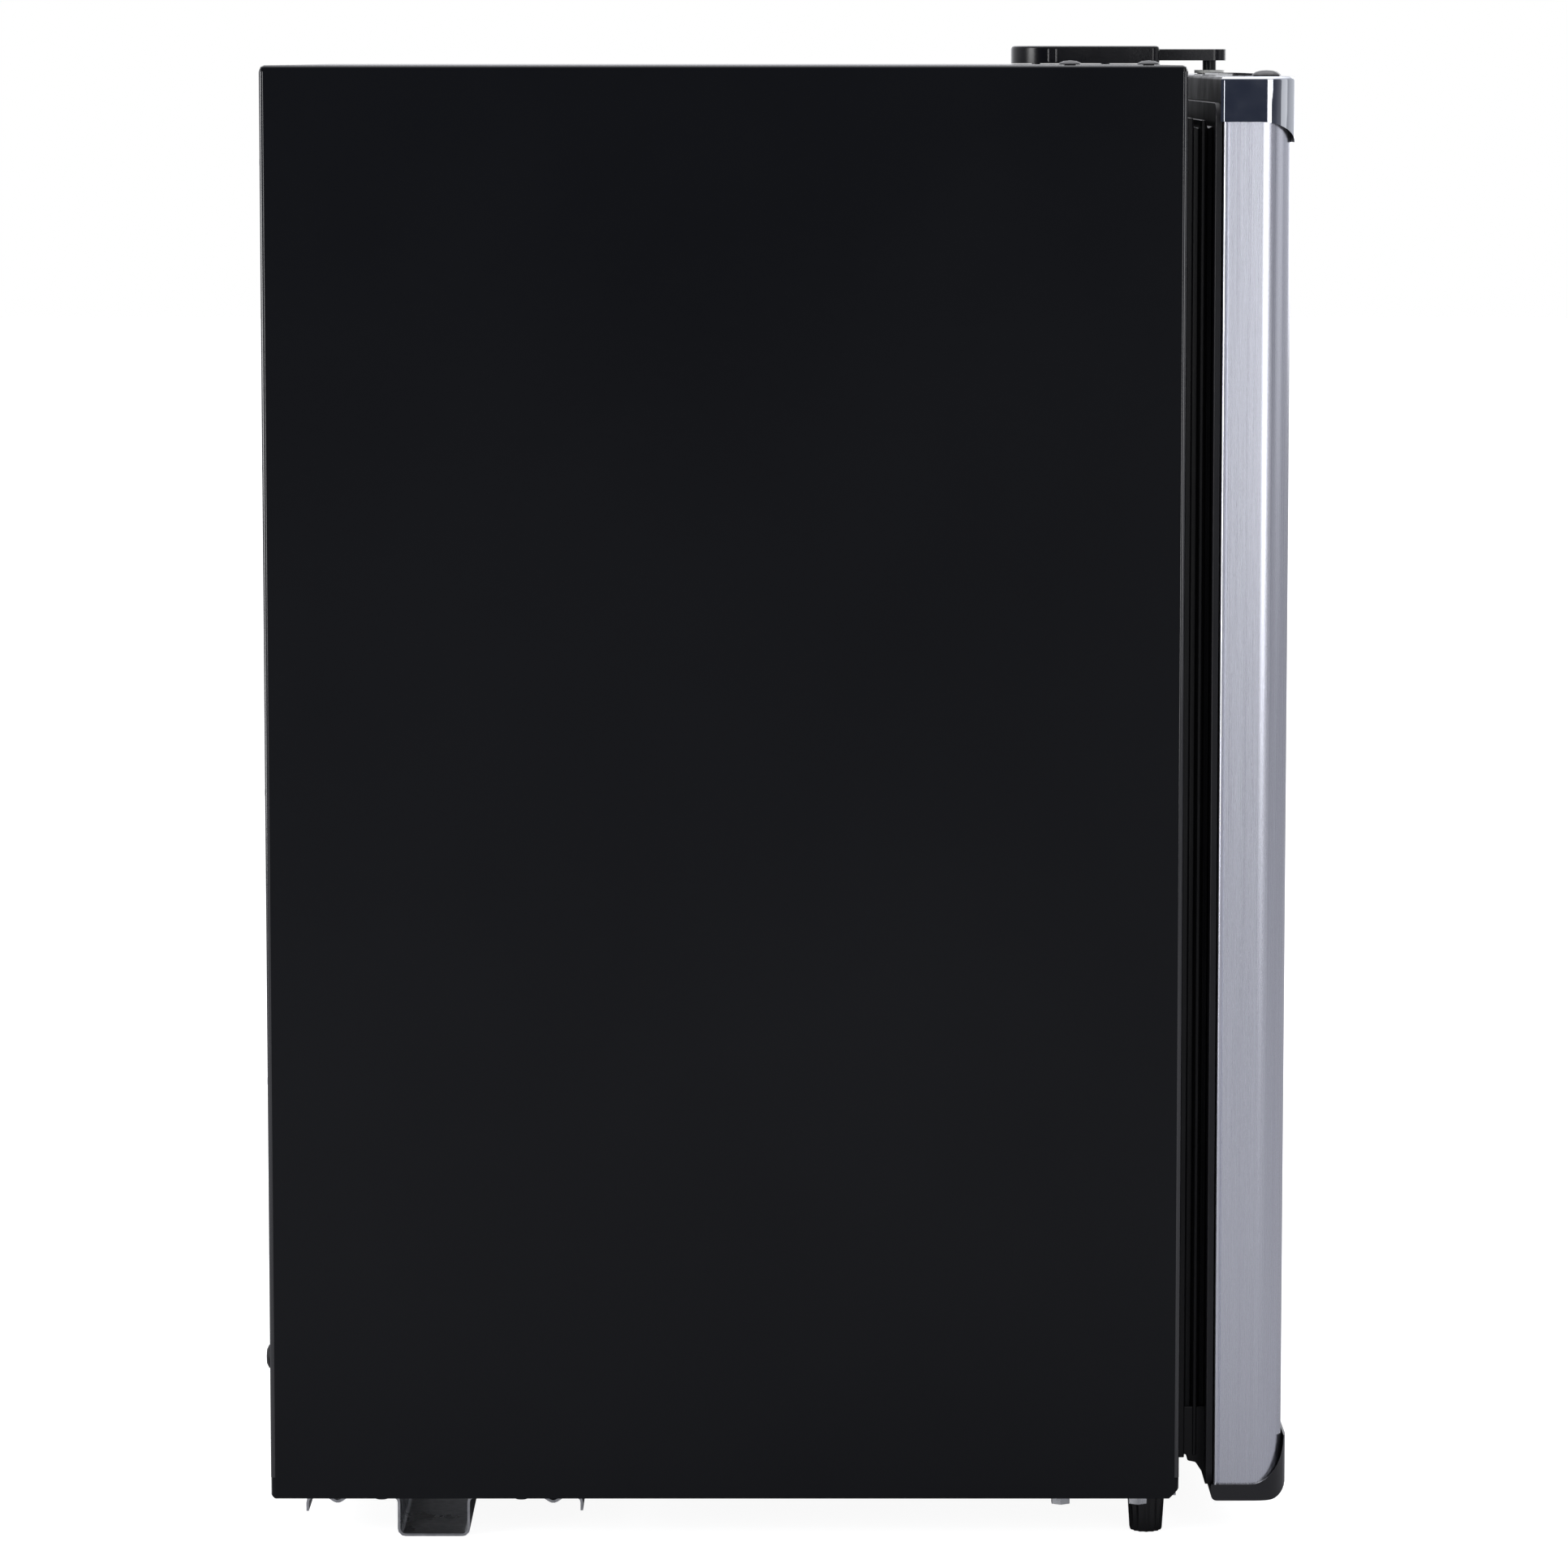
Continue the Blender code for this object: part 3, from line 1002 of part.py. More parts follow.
def make_bottom_cap():
    """Glossy black cap under the door's lower end, with a low front flange."""
    face_z = DOOR_BOTTOM + BOTTOM_CAP_FACE
    outline = door_outline(HALF, CAP_FRONT_Y, CAP_REAR_Y, PANEL_RADIUS + 0.0008)
    cap = solid("door_bottom_cap", prism_data(outline, "Z", DOOR_BOTTOM, face_z), GLOSS_BLACK, True)
    front_turn, rear_turn, beyond = 0.0085, 0.0026, 0.01
    below = DOOR_BOTTOM - beyond
    front_low = arc(CAP_FRONT_Y + front_turn, DOOR_BOTTOM + front_turn, front_turn, 270, 180, 8)
    rear_low = arc(CAP_REAR_Y - rear_turn, DOOR_BOTTOM + rear_turn, rear_turn, 0, -90, 4)
    wide = HALF + beyond
    front_corner = front_low + [(CAP_FRONT_Y - beyond, DOOR_BOTTOM + front_turn),
                                (CAP_FRONT_Y - beyond, below), (CAP_FRONT_Y + front_turn, below)]
    rear_corner = rear_low + [(CAP_REAR_Y - rear_turn, below), (CAP_REAR_Y + beyond, below),
                              (CAP_REAR_Y + beyond, DOOR_BOTTOM + rear_turn)]
    carve(cap, joined(prism_data(front_corner, "X", -wide, wide), prism_data(rear_corner, "X", -wide, wide)))
    notch = cap_notch(DOOR_BOTTOM + BOTTOM_CAP_SIDE, face_z, face_z + 0.01)
    carve(cap, prism_data(notch, "X", -wide, wide))
    pocket = door_outline(PANEL_HALF + GAP, PANEL_FRONT_Y - GAP, DOOR_REAR_Y + GAP, PANEL_RADIUS)
    carve(cap, prism_data(pocket, "Z", DOOR_BOTTOM + 0.0027, face_z + 0.01))
    carve(cap, liner_opening(DOOR_BOTTOM + LINER_BOTTOM_INSET - GAP, face_z + 0.01))
    carve(cap, pin_bores(DOOR_BOTTOM - 0.01, DOOR_BOTTOM + 0.01, BUSH_RADIUS + GAP))
    return cap


def make_bush(name, low, high, collar_low, collar_high):
    """Nylon bush that the hinge pin turns in, with a thin collar outside the cap."""
    collar = BUSH_RADIUS + 0.0016
    if collar_low > low:
        profile = [(BUSH_BORE, low), (BUSH_RADIUS, low), (BUSH_RADIUS, collar_low), (collar, collar_low),
                   (collar, collar_high), (BUSH_BORE, collar_high)]
    else:
        profile = [(BUSH_BORE, collar_low), (collar, collar_low), (collar, collar_high),
                   (BUSH_RADIUS, collar_high), (BUSH_RADIUS, high), (BUSH_BORE, high)]
    verts, faces = turned_data(profile + [profile[0]], (PIN_X, PIN_Y, 0), 28)
    return solid(name, welded(verts, faces[:-2]), COLLAR, True)


def make_door_foam():
    """Foam fill of the door, with a ridge that backs the raised ring of the liner."""
    low, high = DOOR_BOTTOM + 0.0035, DOOR_TOP - 0.0035
    inner = SHEET + GAP
    outline = door_outline(PANEL_HALF - inner, PANEL_FRONT_Y + inner, DOOR_REAR_Y - SHEET - GAP,
                           PANEL_RADIUS - inner, 4)
    foam = solid("door_foam", prism_data(outline, "Z", low, high), FOAM)
    ridge_out = (-DYKE_OUTER_HALF + 0.0025, 0.0745, DYKE_OUTER_HALF - 0.0025, 0.6295)
    ridge_in = (-DYKE_INNER_HALF - 0.0025, 0.0885, DYKE_INNER_HALF + 0.0025, 0.6155)
    rear = LINER_FACE_Y - DOOR_LINER_PLATE - GAP
    ridge = ring_data(ridge_out, ridge_in, DOOR_REAR_Y - 0.004, DYKE_TIP_Y - 0.0030)
    plate = box_data((-PANEL_HALF + 0.016, DOOR_REAR_Y - 0.004, DOOR_BOTTOM + LINER_BOTTOM_INSET),
                     (PANEL_HALF - 0.016, rear, DOOR_TOP - LINER_TOP_INSET))
    carve(foam, plate, "UNION")
    carve(foam, ridge, "UNION")
    recess = rounded_rectangle(-RECESS_HALF - GAP, RECESS_FRONT_Y - GAP,
                               RECESS_HALF + GAP, RECESS_REAR_Y + GAP, 0.0088, 4)
    cuts = joined(prism_data(recess, "Z", DOOR_TOP - RECESS_DEPTH - GAP, high + 0.01),
                  pin_bores(low - 0.01, DOOR_BOTTOM + 0.0150, BUSH_RADIUS + GAP),
                  pin_bores(DOOR_TOP - 0.0170, high + 0.01, BUSH_RADIUS + GAP))
    carve(foam, cuts)
    return foam


def make_door_liner():
    """Black inner skin with a raised ring that carries the bins, hollow behind."""
    front = LINER_FACE_Y - DOOR_LINER_PLATE
    half, low, high = HALF - 0.0030, DOOR_BOTTOM + LINER_BOTTOM_INSET, DOOR_TOP - LINER_TOP_INSET
    outline = rounded_rectangle(-half, low, half, high, 0.008, 3)
    liner = solid("door_liner", prism_data(outline, "Y", front, LINER_FACE_Y), GLOSS_BLACK)
    ring = ring_data((-DYKE_OUTER_HALF, 0.072, DYKE_OUTER_HALF, 0.632),
                     (-DYKE_INNER_HALF, 0.091, DYKE_INNER_HALF, 0.613), LINER_FACE_Y - 0.001, DYKE_TIP_Y)
    lugs = []
    for name, bin_low, bin_high, reach in BINS:
        for side in (-1, 1):
            x0, x1 = sorted((side * (DYKE_INNER_HALF + 0.001), side * (DYKE_INNER_HALF - 0.006)))
            lugs.append(box_data((x0, LINER_FACE_Y - 0.001, bin_low - 0.0060),
                                 (x1, DYKE_TIP_Y - 0.002, bin_low - GAP)))
    carve(liner, ring, "UNION")
    carve(liner, joined(*lugs), "UNION")
    groove = ring_data((-DYKE_OUTER_HALF + 0.0022, 0.0742, DYKE_OUTER_HALF - 0.0022, 0.6298),
                       (-DYKE_INNER_HALF - 0.0022, 0.0888, DYKE_INNER_HALF + 0.0022, 0.6152),
                       front - 0.01, DYKE_TIP_Y - 0.0022)
    carve(liner, groove)
    return liner


def make_gasket():
    """Magnetic seal: flat strip towards the cabinet, a waist, a bulb and a foot; mitred corners."""
    section = [(0.0000, 0.0006), (0.0160, 0.0006), (0.0160, 0.0033), (0.0118, 0.0037), (0.0108, 0.0062),
               (0.0140, 0.0072), (0.0140, 0.0090), (0.0112, 0.0104), (0.0122, 0.0125), (0.0038, 0.0125),
               (0.0048, 0.0104), (0.0010, 0.0090), (0.0010, 0.0072), (0.0048, 0.0062), (0.0042, 0.0037),
               (0.0000, 0.0033)]
    verts, faces = [], []
    corners = [(-1, 0), (1, 0), (1, 1), (-1, 1)]
    count = len(section)
    for side, up in corners:
        for inset, reach in section:
            x = side * (GASKET_HALF - inset)
            z = GASKET_TOP - inset if up else GASKET_BOTTOM + inset
            verts.append((x, FRONT - reach, z))
    for k in range(4):
        nxt = (k + 1) % 4
        for i in range(count):
            j = (i + 1) % count
            faces.append((k * count + i, k * count + j, nxt * count + j, nxt * count + i))
    return solid("door_gasket", (verts, faces), RUBBER)


def make_bin(name, low, high, reach):
    """Open-topped balcony with rounded inner corners, resting on two lugs of the door liner."""
    back = LINER_FACE_Y + 0.0010
    lo, hi = (-BIN_HALF, back, low), (BIN_HALF, reach, high)
    bin_body = solid(name, box_data(lo, hi), CLEAR)
    round_edges(bin_body, 0.012, 3, lambda a, b: abs(a.z - b.z) > 0.02 and a.y > reach - 0.001)
    wall = BIN_WALL
    cut = (arc(BIN_HALF - 0.012, reach - 0.012, 0.012 - wall, 0, 90, 3)
           + arc(-BIN_HALF + 0.012, reach - 0.012, 0.012 - wall, 90, 180, 3)
           + [(-BIN_HALF + wall, back + wall), (BIN_HALF - wall, back + wall)])
    carve(bin_body, prism_data(cut, "Z", low + wall, high + 0.02))
    ride(axis_empty(f"{name}_axis", (0, back, low)), bin_body)
    return bin_body


def make_door():
    pieces = [make_door_panel(), make_top_cap(), make_handle_insert(), make_bottom_cap(), make_door_foam(),
              make_door_liner(), make_gasket()]
    pieces.append(make_bush("upper_hinge_bush", DOOR_TOP - 0.0160, DOOR_TOP + GAP,
                            DOOR_TOP + GAP, DOOR_TOP + 0.0019))
    pieces.append(make_bush("lower_hinge_bush", DOOR_BOTTOM - GAP, DOOR_BOTTOM + 0.0140,
                            DOOR_BOTTOM - 0.0017, DOOR_BOTTOM - GAP))
    plug = [(0, DOOR_TOP - 0.008), (0.0050, DOOR_TOP - 0.008), (0.0060, DOOR_TOP + GAP),
            (0.0068, DOOR_TOP + GAP), (0.0064, DOOR_TOP + 0.0010), (0.0050, DOOR_TOP + 0.0020),
            (0.0028, DOOR_TOP + 0.0026),
            (0, DOOR_TOP + 0.0028)]
    pieces.append(solid("spare_hinge_plug", turned_data(plug, (-PIN_X, PIN_Y, 0), 20), GLOSS_BLACK, True))
    door_axis = axis_empty("door_axis", (PIN_X, PIN_Y, 0))
    ride(door_axis, *pieces)
    for name, low, high, reach in BINS:
        bin_body = make_bin(name, low, high, reach)
        bin_axis = bin_body.parent
        ride(door_axis, bin_axis)


def clear_scene():
    for obj in list(bpy.data.objects):
        bpy.data.objects.remove(obj, do_unlink=True)


def main():
    clear_scene()
    make_cabinet_shell()
    make_back_panel()
    make_bottom_plate()
    make_insulation_foam()
    make_inner_liner()
    make_circuit()
    make_compressor()
    make_base_plate()
    make_underside()
    make_top_hinge()
    make_cord_gland()
    make_rear_bumpers()
    make_freezer()
    make_drip_tray()
    make_thermostat()
    make_shelf("upper_shelf", SHELF_LEVELS[2])
    make_shelf("lower_shelf", SHELF_LEVELS[0])
    make_door()


main()
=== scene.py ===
"""Looks of the mini fridge: finishes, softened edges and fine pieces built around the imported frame."""
import json
import math

import bmesh
import bpy
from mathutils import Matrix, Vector


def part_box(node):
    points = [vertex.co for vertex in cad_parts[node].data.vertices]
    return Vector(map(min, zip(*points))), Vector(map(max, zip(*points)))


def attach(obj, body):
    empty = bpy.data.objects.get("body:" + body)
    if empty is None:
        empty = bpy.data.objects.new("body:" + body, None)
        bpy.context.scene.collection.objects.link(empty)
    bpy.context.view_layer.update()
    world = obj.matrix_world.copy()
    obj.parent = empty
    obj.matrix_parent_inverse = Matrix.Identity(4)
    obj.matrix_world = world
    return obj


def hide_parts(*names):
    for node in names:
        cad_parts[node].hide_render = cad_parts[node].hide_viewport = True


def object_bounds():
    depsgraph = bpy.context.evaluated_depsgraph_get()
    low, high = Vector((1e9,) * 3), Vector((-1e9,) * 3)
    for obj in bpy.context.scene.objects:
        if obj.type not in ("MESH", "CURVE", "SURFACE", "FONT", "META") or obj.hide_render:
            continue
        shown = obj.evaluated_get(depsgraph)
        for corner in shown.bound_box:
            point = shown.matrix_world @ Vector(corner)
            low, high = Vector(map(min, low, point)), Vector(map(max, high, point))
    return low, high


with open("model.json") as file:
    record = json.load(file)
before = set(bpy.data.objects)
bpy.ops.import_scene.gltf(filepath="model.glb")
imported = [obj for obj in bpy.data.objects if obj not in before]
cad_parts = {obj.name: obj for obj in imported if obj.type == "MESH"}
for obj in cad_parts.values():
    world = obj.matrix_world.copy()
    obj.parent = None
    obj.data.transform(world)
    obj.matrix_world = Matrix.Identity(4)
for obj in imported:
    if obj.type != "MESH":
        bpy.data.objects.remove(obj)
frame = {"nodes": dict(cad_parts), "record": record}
CAD_LOW, CAD_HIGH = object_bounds()
NODES = frame["nodes"]
BODY = {node: body for body, members in frame["record"]["behaviour"]["bodies"].items() for node in members}
SLOT = {row["node"]: row["material_slot"] for row in frame["record"]["subparts"]}

# Above this angle, in degrees, an edge of a mesh shades as sharp.
ROUND, LATHED, FACETED, SHEET_CORNER = 60.0, 40.0, 30.0, 25.0
BEVEL_ANGLE = 32.0      # degrees; a blunter edge is part of a curve and isn't softened
BEVEL_STEPS = 2
FLAT_ANGLE = 0.8        # degrees; triangles within it belong to one flat face
SAME_POINT = 2e-6       # metres
USUAL_WIDTH = 0.0002    # metres; softened edge of a node that SKIN_WIDTHS doesn't name
SPANGLE = 260.0         # zinc crystals per metre
GRAIN_START, GRAIN_END = 0.36, 0.64     # the part of the brushed noise that its colours span
TARNISH_START, TARNISH_END = 0.38, 0.62


# ---------------------------------------------------------------- finishes

def finish(name, colour, roughness, metallic=0.0, **sockets):
    """A new material with its uniform values set on the shader's own sockets."""
    made = bpy.data.materials.new(name)
    made.use_nodes = True
    shader = made.node_tree.nodes["Principled BSDF"]
    shader.inputs["Base Color"].default_value = (*colour, 1.0)
    shader.inputs["Roughness"].default_value = roughness
    shader.inputs["Metallic"].default_value = metallic
    for label, value in sockets.items():
        shader.inputs[label.replace("_", " ")].default_value = value
    made.diffuse_color = (*colour, 1.0)
    return made


def noise(made, scale, stretch=(1.0, 1.0, 1.0), detail=3.0, rough=0.55, kind="ShaderNodeTexNoise"):
    """A procedural texture in the piece's own space; scale is in features per metre."""
    nodes, links = made.node_tree.nodes, made.node_tree.links
    place = nodes.new("ShaderNodeTexCoord")
    mapping = nodes.new("ShaderNodeMapping")
    mapping.inputs["Scale"].default_value = [scale * value for value in stretch]
    texture = nodes.new(kind)
    texture.inputs["Scale"].default_value = 1.0
    if kind == "ShaderNodeTexNoise":
        texture.inputs["Detail"].default_value = detail
        texture.inputs["Roughness"].default_value = rough
    links.new(place.outputs["Object"], mapping.inputs["Vector"])
    links.new(mapping.outputs["Vector"], texture.inputs["Vector"])
    return texture.outputs["Fac" if kind == "ShaderNodeTexNoise" else "Distance"]


def spread(made, source, low, high, start=0.3, end=0.7):
    """source mapped from start..end to low..high."""
    node = made.node_tree.nodes.new("ShaderNodeMapRange")
    node.inputs["From Min"].default_value = start
    node.inputs["From Max"].default_value = end
    node.inputs["To Min"].default_value = low
    node.inputs["To Max"].default_value = high
    made.node_tree.links.new(source, node.inputs["Value"])
    return node.outputs["Result"]


def blended(made, factor, dark, light):
    """A colour between dark and light."""
    node = made.node_tree.nodes.new("ShaderNodeMix")
    node.data_type = "RGBA"
    for socket, value in zip([s for s in node.inputs if s.type == "RGBA"], (dark, light)):
        if isinstance(value, tuple):
            socket.default_value = (*value, 1.0)
        else:
            made.node_tree.links.new(value, socket)
    made.node_tree.links.new(factor, node.inputs[0])
    return [s for s in node.outputs if s.type == "RGBA"][0]


def feed(made, label, source):
    """Join a node's output to one of the shader's sockets."""
    made.node_tree.links.new(source, made.node_tree.nodes["Principled BSDF"].inputs[label])


def relief(made, source, strength, depth, below=None):
    """Bump of the given depth in metres, added on top of another bump if there is one."""
    node = made.node_tree.nodes.new("ShaderNodeBump")
    node.inputs["Strength"].default_value = strength
    node.inputs["Distance"].default_value = depth
    made.node_tree.links.new(source, node.inputs["Height"])
    if below is not None:
        made.node_tree.links.new(below, node.inputs["Normal"])
    feed(made, "Normal", node.outputs["Normal"])
    return node.outputs["Normal"]


def plastic(name, dark, light, smooth, rough, grain, depth, **sockets):
    """Moulded plastic: a slow drift in colour and gloss, and a fine mould grain."""
    made = finish(name, light, rough, **sockets)
    drift = noise(made, 14.0)
    feed(made, "Base Color", blended(made, spread(made, drift, 0.0, 1.0), dark, light))
    feed(made, "Roughness", spread(made, noise(made, 45.0), smooth, rough))
    relief(made, noise(made, grain, detail=2.0), 0.35, depth)
    return made


def painted_black():
    """Baked black enamel on sheet steel, with a faint orange peel."""
    made = finish("black_enamel", (0.0056, 0.0060, 0.0074), 0.15, Specular_IOR_Level=0.16)
    drift = noise(made, 5.0)
    feed(made, "Base Color", blended(made, spread(made, drift, 0.0, 1.0), (0.0049, 0.0053, 0.0066),
                                     (0.0063, 0.0068, 0.0082)))
    feed(made, "Roughness", spread(made, noise(made, 9.0), 0.13, 0.17))
    coarse = relief(made, noise(made, 160.0, detail=1.0), 0.05, 0.0004)
    relief(made, noise(made, 900.0, detail=2.0), 0.10, 0.0001, coarse)
    return made


def brushed(name, dark, light, stretch, roughness, anisotropic, depth):
    """Steel brushed along one axis: long fine scratches in colour, gloss and relief."""
    made = finish(name, light, roughness, 1.0, Anisotropic=anisotropic)
    fine = noise(made, 1.0, stretch, detail=4.0, rough=0.7)
    broad = noise(made, 1.0, [value * 0.14 for value in stretch], detail=2.0)
    both = made.node_tree.nodes.new("ShaderNodeMath")
    both.operation = "MULTIPLY_ADD"
    both.inputs[1].default_value = 0.6
    made.node_tree.links.new(fine, both.inputs[0])
    made.node_tree.links.new(spread(made, broad, 0.12, 0.28, 0.0, 1.0), both.inputs[2])
    grain = both.outputs["Value"]
    tone = spread(made, grain, 0.0, 1.0, GRAIN_START, GRAIN_END)
    feed(made, "Base Color", blended(made, tone, dark, light))
    gloss = spread(made, grain, roughness * 0.85, roughness * 1.2, GRAIN_START, GRAIN_END)
    feed(made, "Roughness", gloss)
    relief(made, fine, 0.30, depth)
    tangent = made.node_tree.nodes.new("ShaderNodeTangent")
    tangent.direction_type = "RADIAL"
    tangent.axis = "Z"
    feed(made, "Tangent", tangent.outputs["Tangent"])
    return made


def plated(name, dark, light, smooth, rough):
    """Zinc plated steel: pale crystals and a slightly cloudy passivation."""
    made = finish(name, light, rough, 1.0)
    cells = noise(made, SPANGLE, kind="ShaderNodeTexVoronoi")
    cloud = noise(made, 30.0, detail=5.0)
    mixed = blended(made, spread(made, cells, 0.0, 1.0, 0.1, 0.8), dark, light)
    feed(made, "Base Color", mixed)
    feed(made, "Roughness", spread(made, cloud, smooth, rough))
    relief(made, noise(made, 1400.0, detail=2.0), 0.15, 0.00005)
    return made


def chrome():
    """Bright plating on plastic, with the faint waviness of a moulding."""
    made = finish("bright_plating", (0.62, 0.64, 0.69), 0.06, 1.0)
    feed(made, "Base Color", blended(made, spread(made, noise(made, 8.0), 0.0, 1.0), (0.58, 0.60, 0.66),
                                     (0.66, 0.68, 0.72)))
    feed(made, "Roughness", spread(made, noise(made, 120.0, detail=4.0), 0.045, 0.085))
    relief(made, noise(made, 26.0, detail=1.0), 0.04, 0.001)
    return made


def clear_sheet(name, tint, smooth, rough, ior):
    """Clear moulding or glass, with a trace of wipe marks in its gloss."""
    made = finish(name, tint, smooth, 0.0, Transmission_Weight=0.92, IOR=ior)
    feed(made, "Roughness", spread(made, noise(made, 20.0, detail=5.0), smooth, rough))
    deeper = tuple(value * 0.93 for value in tint)
    feed(made, "Base Color", blended(made, spread(made, noise(made, 12.0), 0.0, 1.0), deeper, tint))
    return made


def worn_metal(name, dark, light, smooth, rough, scale):
    """Bare copper or aluminium with patches of tarnish."""
    made = finish(name, light, rough, 1.0)
    patches = noise(made, scale, detail=6.0, rough=0.65)
    tone = spread(made, patches, 0.0, 1.0, TARNISH_START, TARNISH_END)
    feed(made, "Base Color", blended(made, tone, dark, light))
    feed(made, "Roughness", spread(made, patches, rough, smooth, TARNISH_START, TARNISH_END))
    relief(made, noise(made, scale * 18.0, detail=2.0), 0.2, 0.00006)
    return made


# Most are named after a material slot; edge_paint, hinge_cover, foot_nylon and shade_plastic are looks
# that single pieces take in place of their slot's own finish.
FINISHES = {
    "black_paint": painted_black(),
    "dark_paint": plastic("compressor_enamel", (0.010, 0.010, 0.011), (0.017, 0.017, 0.018), 0.26, 0.40,
                          420.0, 0.0002),
    "zinc_steel": plated("zinc_plate", (0.50, 0.51, 0.53), (0.66, 0.67, 0.69), 0.22, 0.38),
    "brushed_steel": brushed("brushed_door_steel", (0.65, 0.66, 0.735), (0.73, 0.74, 0.82),
                             (4200.0, 4200.0, 7.0), 0.26, 0.45, 0.00002),
    "chrome_plastic": chrome(),
    "gloss_black_plastic": plastic("gloss_black", (0.007, 0.007, 0.009), (0.011, 0.011, 0.013), 0.10, 0.17,
                                   300.0, 0.00003),
    "matte_black_plastic": plastic("grained_black", (0.006, 0.006, 0.0065), (0.010, 0.010, 0.0105),
                                   0.30, 0.42, 1300.0, 0.00012, Specular_IOR_Level=0.35),
    "edge_paint": plastic("edge_enamel", (0.008, 0.008, 0.010), (0.012, 0.012, 0.014), 0.10, 0.14,
                          300.0, 0.00002, Specular_IOR_Level=1.0),
    "hinge_cover": plastic("satin_black", (0.0045, 0.0045, 0.006), (0.0065, 0.0065, 0.008), 0.18, 0.26,
                           900.0, 0.00006, Specular_IOR_Level=0.40),
    "foot_nylon": plastic("foot_black", (0.004, 0.004, 0.005), (0.007, 0.007, 0.008), 0.12, 0.20,
                          500.0, 0.00003),
    "shade_plastic": plastic("unplated_back", (0.006, 0.006, 0.0075), (0.010, 0.010, 0.012), 0.30, 0.42,
                             600.0, 0.00005, Specular_IOR_Level=0.22),
    "rubber": plastic("seal_rubber", (0.005, 0.005, 0.006), (0.008, 0.008, 0.009), 0.30, 0.44,
                      800.0, 0.0001, Specular_IOR_Level=0.22),
    "white_plastic": plastic("white_liner", (0.765, 0.775, 0.785), (0.79, 0.80, 0.81), 0.29, 0.34,
                             600.0, 0.00003),
    "clear_plastic": clear_sheet("clear_styrene", (0.95, 0.97, 0.98), 0.03, 0.08, 1.49),
    "shelf_glass": clear_sheet("shelf_glass_sheet", (0.80, 0.92, 0.88), 0.01, 0.04, 1.52),
    "foam": plastic("rigid_foam", (0.55, 0.45, 0.26), (0.72, 0.62, 0.40), 0.80, 0.95, 500.0, 0.0008),
    "aluminium": worn_metal("rolled_aluminium", (0.58, 0.60, 0.62), (0.76, 0.77, 0.79),
                            0.26, 0.40, 60.0),
    "copper": worn_metal("copper_tube", (0.36, 0.15, 0.08), (0.72, 0.36, 0.22), 0.22, 0.42, 70.0),
    "nylon": plastic("natural_nylon", (0.60, 0.60, 0.56), (0.72, 0.72, 0.68), 0.38, 0.50, 900.0, 0.00008),
}


# ---------------------------------------------------------------- making pieces

def place_mesh(name, verts, faces, body, slot, smooth_angle, look=None):
    """A mesh piece in the row frame, with a finish, that rides on a body."""
    mesh = bpy.data.meshes.new(name)
    mesh.from_pydata([tuple(v) for v in verts], [], [tuple(f) for f in faces])
    mesh.polygons.foreach_set("use_smooth", [True] * len(mesh.polygons))
    mesh.set_sharp_from_angle(angle=math.radians(smooth_angle))
    piece = bpy.data.objects.new(name, mesh)
    bpy.context.scene.collection.objects.link(piece)
    piece.data.materials.append(FINISHES[look or slot])
    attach(piece, body)
    return piece


def soften(piece, width):
    """Round the piece's sharp edges and keep its flat faces flat."""
    if width:
        bevel = piece.modifiers.new("soft_edges", "BEVEL")
        bevel.width = width
        bevel.segments = BEVEL_STEPS
        bevel.limit_method = "ANGLE"
        bevel.angle_limit = math.radians(BEVEL_ANGLE)
        bevel.use_clamp_overlap = True
        bevel.miter_outer = "MITER_ARC"
    weights = piece.modifiers.new("flat_faces", "WEIGHTED_NORMAL")
    weights.keep_sharp = True


def whole_faces(node):
    """A CAD node's corners and faces, with the triangles of each flat face joined again."""
    shape = bmesh.new()
    shape.from_mesh(NODES[node].data)
    bmesh.ops.remove_doubles(shape, verts=shape.verts, dist=SAME_POINT)
    bmesh.ops.dissolve_limit(shape, angle_limit=math.radians(FLAT_ANGLE), verts=shape.verts,
                             edges=shape.edges)
    shape.verts.index_update()
    data = ([v.co.copy() for v in shape.verts], [tuple(v.index for v in f.verts) for f in shape.faces])
    shape.free()
    return data


def skin(node, width):
    """The finished form of a CAD node: the same shape with softened edges, standing for the node."""
    verts, faces = whole_faces(node)
    piece = place_mesh(node + "_skin", verts, faces, BODY[node], SLOT[node], ROUND if width else FACETED,
                       LOOKS.get(node))
    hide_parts(node)
    soften(piece, width)


# Nodes whose look differs in gloss from their slot's usual finish.
LOOKS = {"top_hinge_cover": "hinge_cover", "door_liner": "shade_plastic", "foot_left": "foot_nylon",
         "foot_right": "foot_nylon"}
# Width of the softened edges, in metres; 0 leaves the edges as they are.
SKIN_WIDTHS = {
    "cabinet_shell": 0.0, "back_panel": 0.0003, "bottom_plate": 0.0, "insulation_foam": 0.0,
    "inner_liner": 0.0, "condenser_coil": 0.0, "compressor_base_plate": 0.0, "compressor_lower_shell": 0.0,
    "compressor_upper_shell": 0.0, "suction_tube": 0.0, "discharge_tube": 0.0, "filter_drier": 0.0,
    "door_foam": 0.0, "door_panel": 0.0, "door_top_cap": 0.0, "door_bottom_cap": 0.0, "handle_insert": 0.0003,
    "relay_cover": 0.0006, "freezer_box": 0.0004, "freezer_frame": 0.0008, "freezer_flap": 0.0006,
    "upper_shelf": 0.0006, "lower_shelf": 0.0006, "upper_shelf_trim": 0.0010, "lower_shelf_trim": 0.0010,
    "door_gasket": 0.0004, "door_liner": 0.0006, "lower_bin": 0.0006, "middle_bin": 0.0006,
    "upper_bin": 0.0006,
    "drip_tray": 0.0005, "thermostat_housing": 0.0008,
}
CUSTOM = ("door_panel", "door_top_cap")
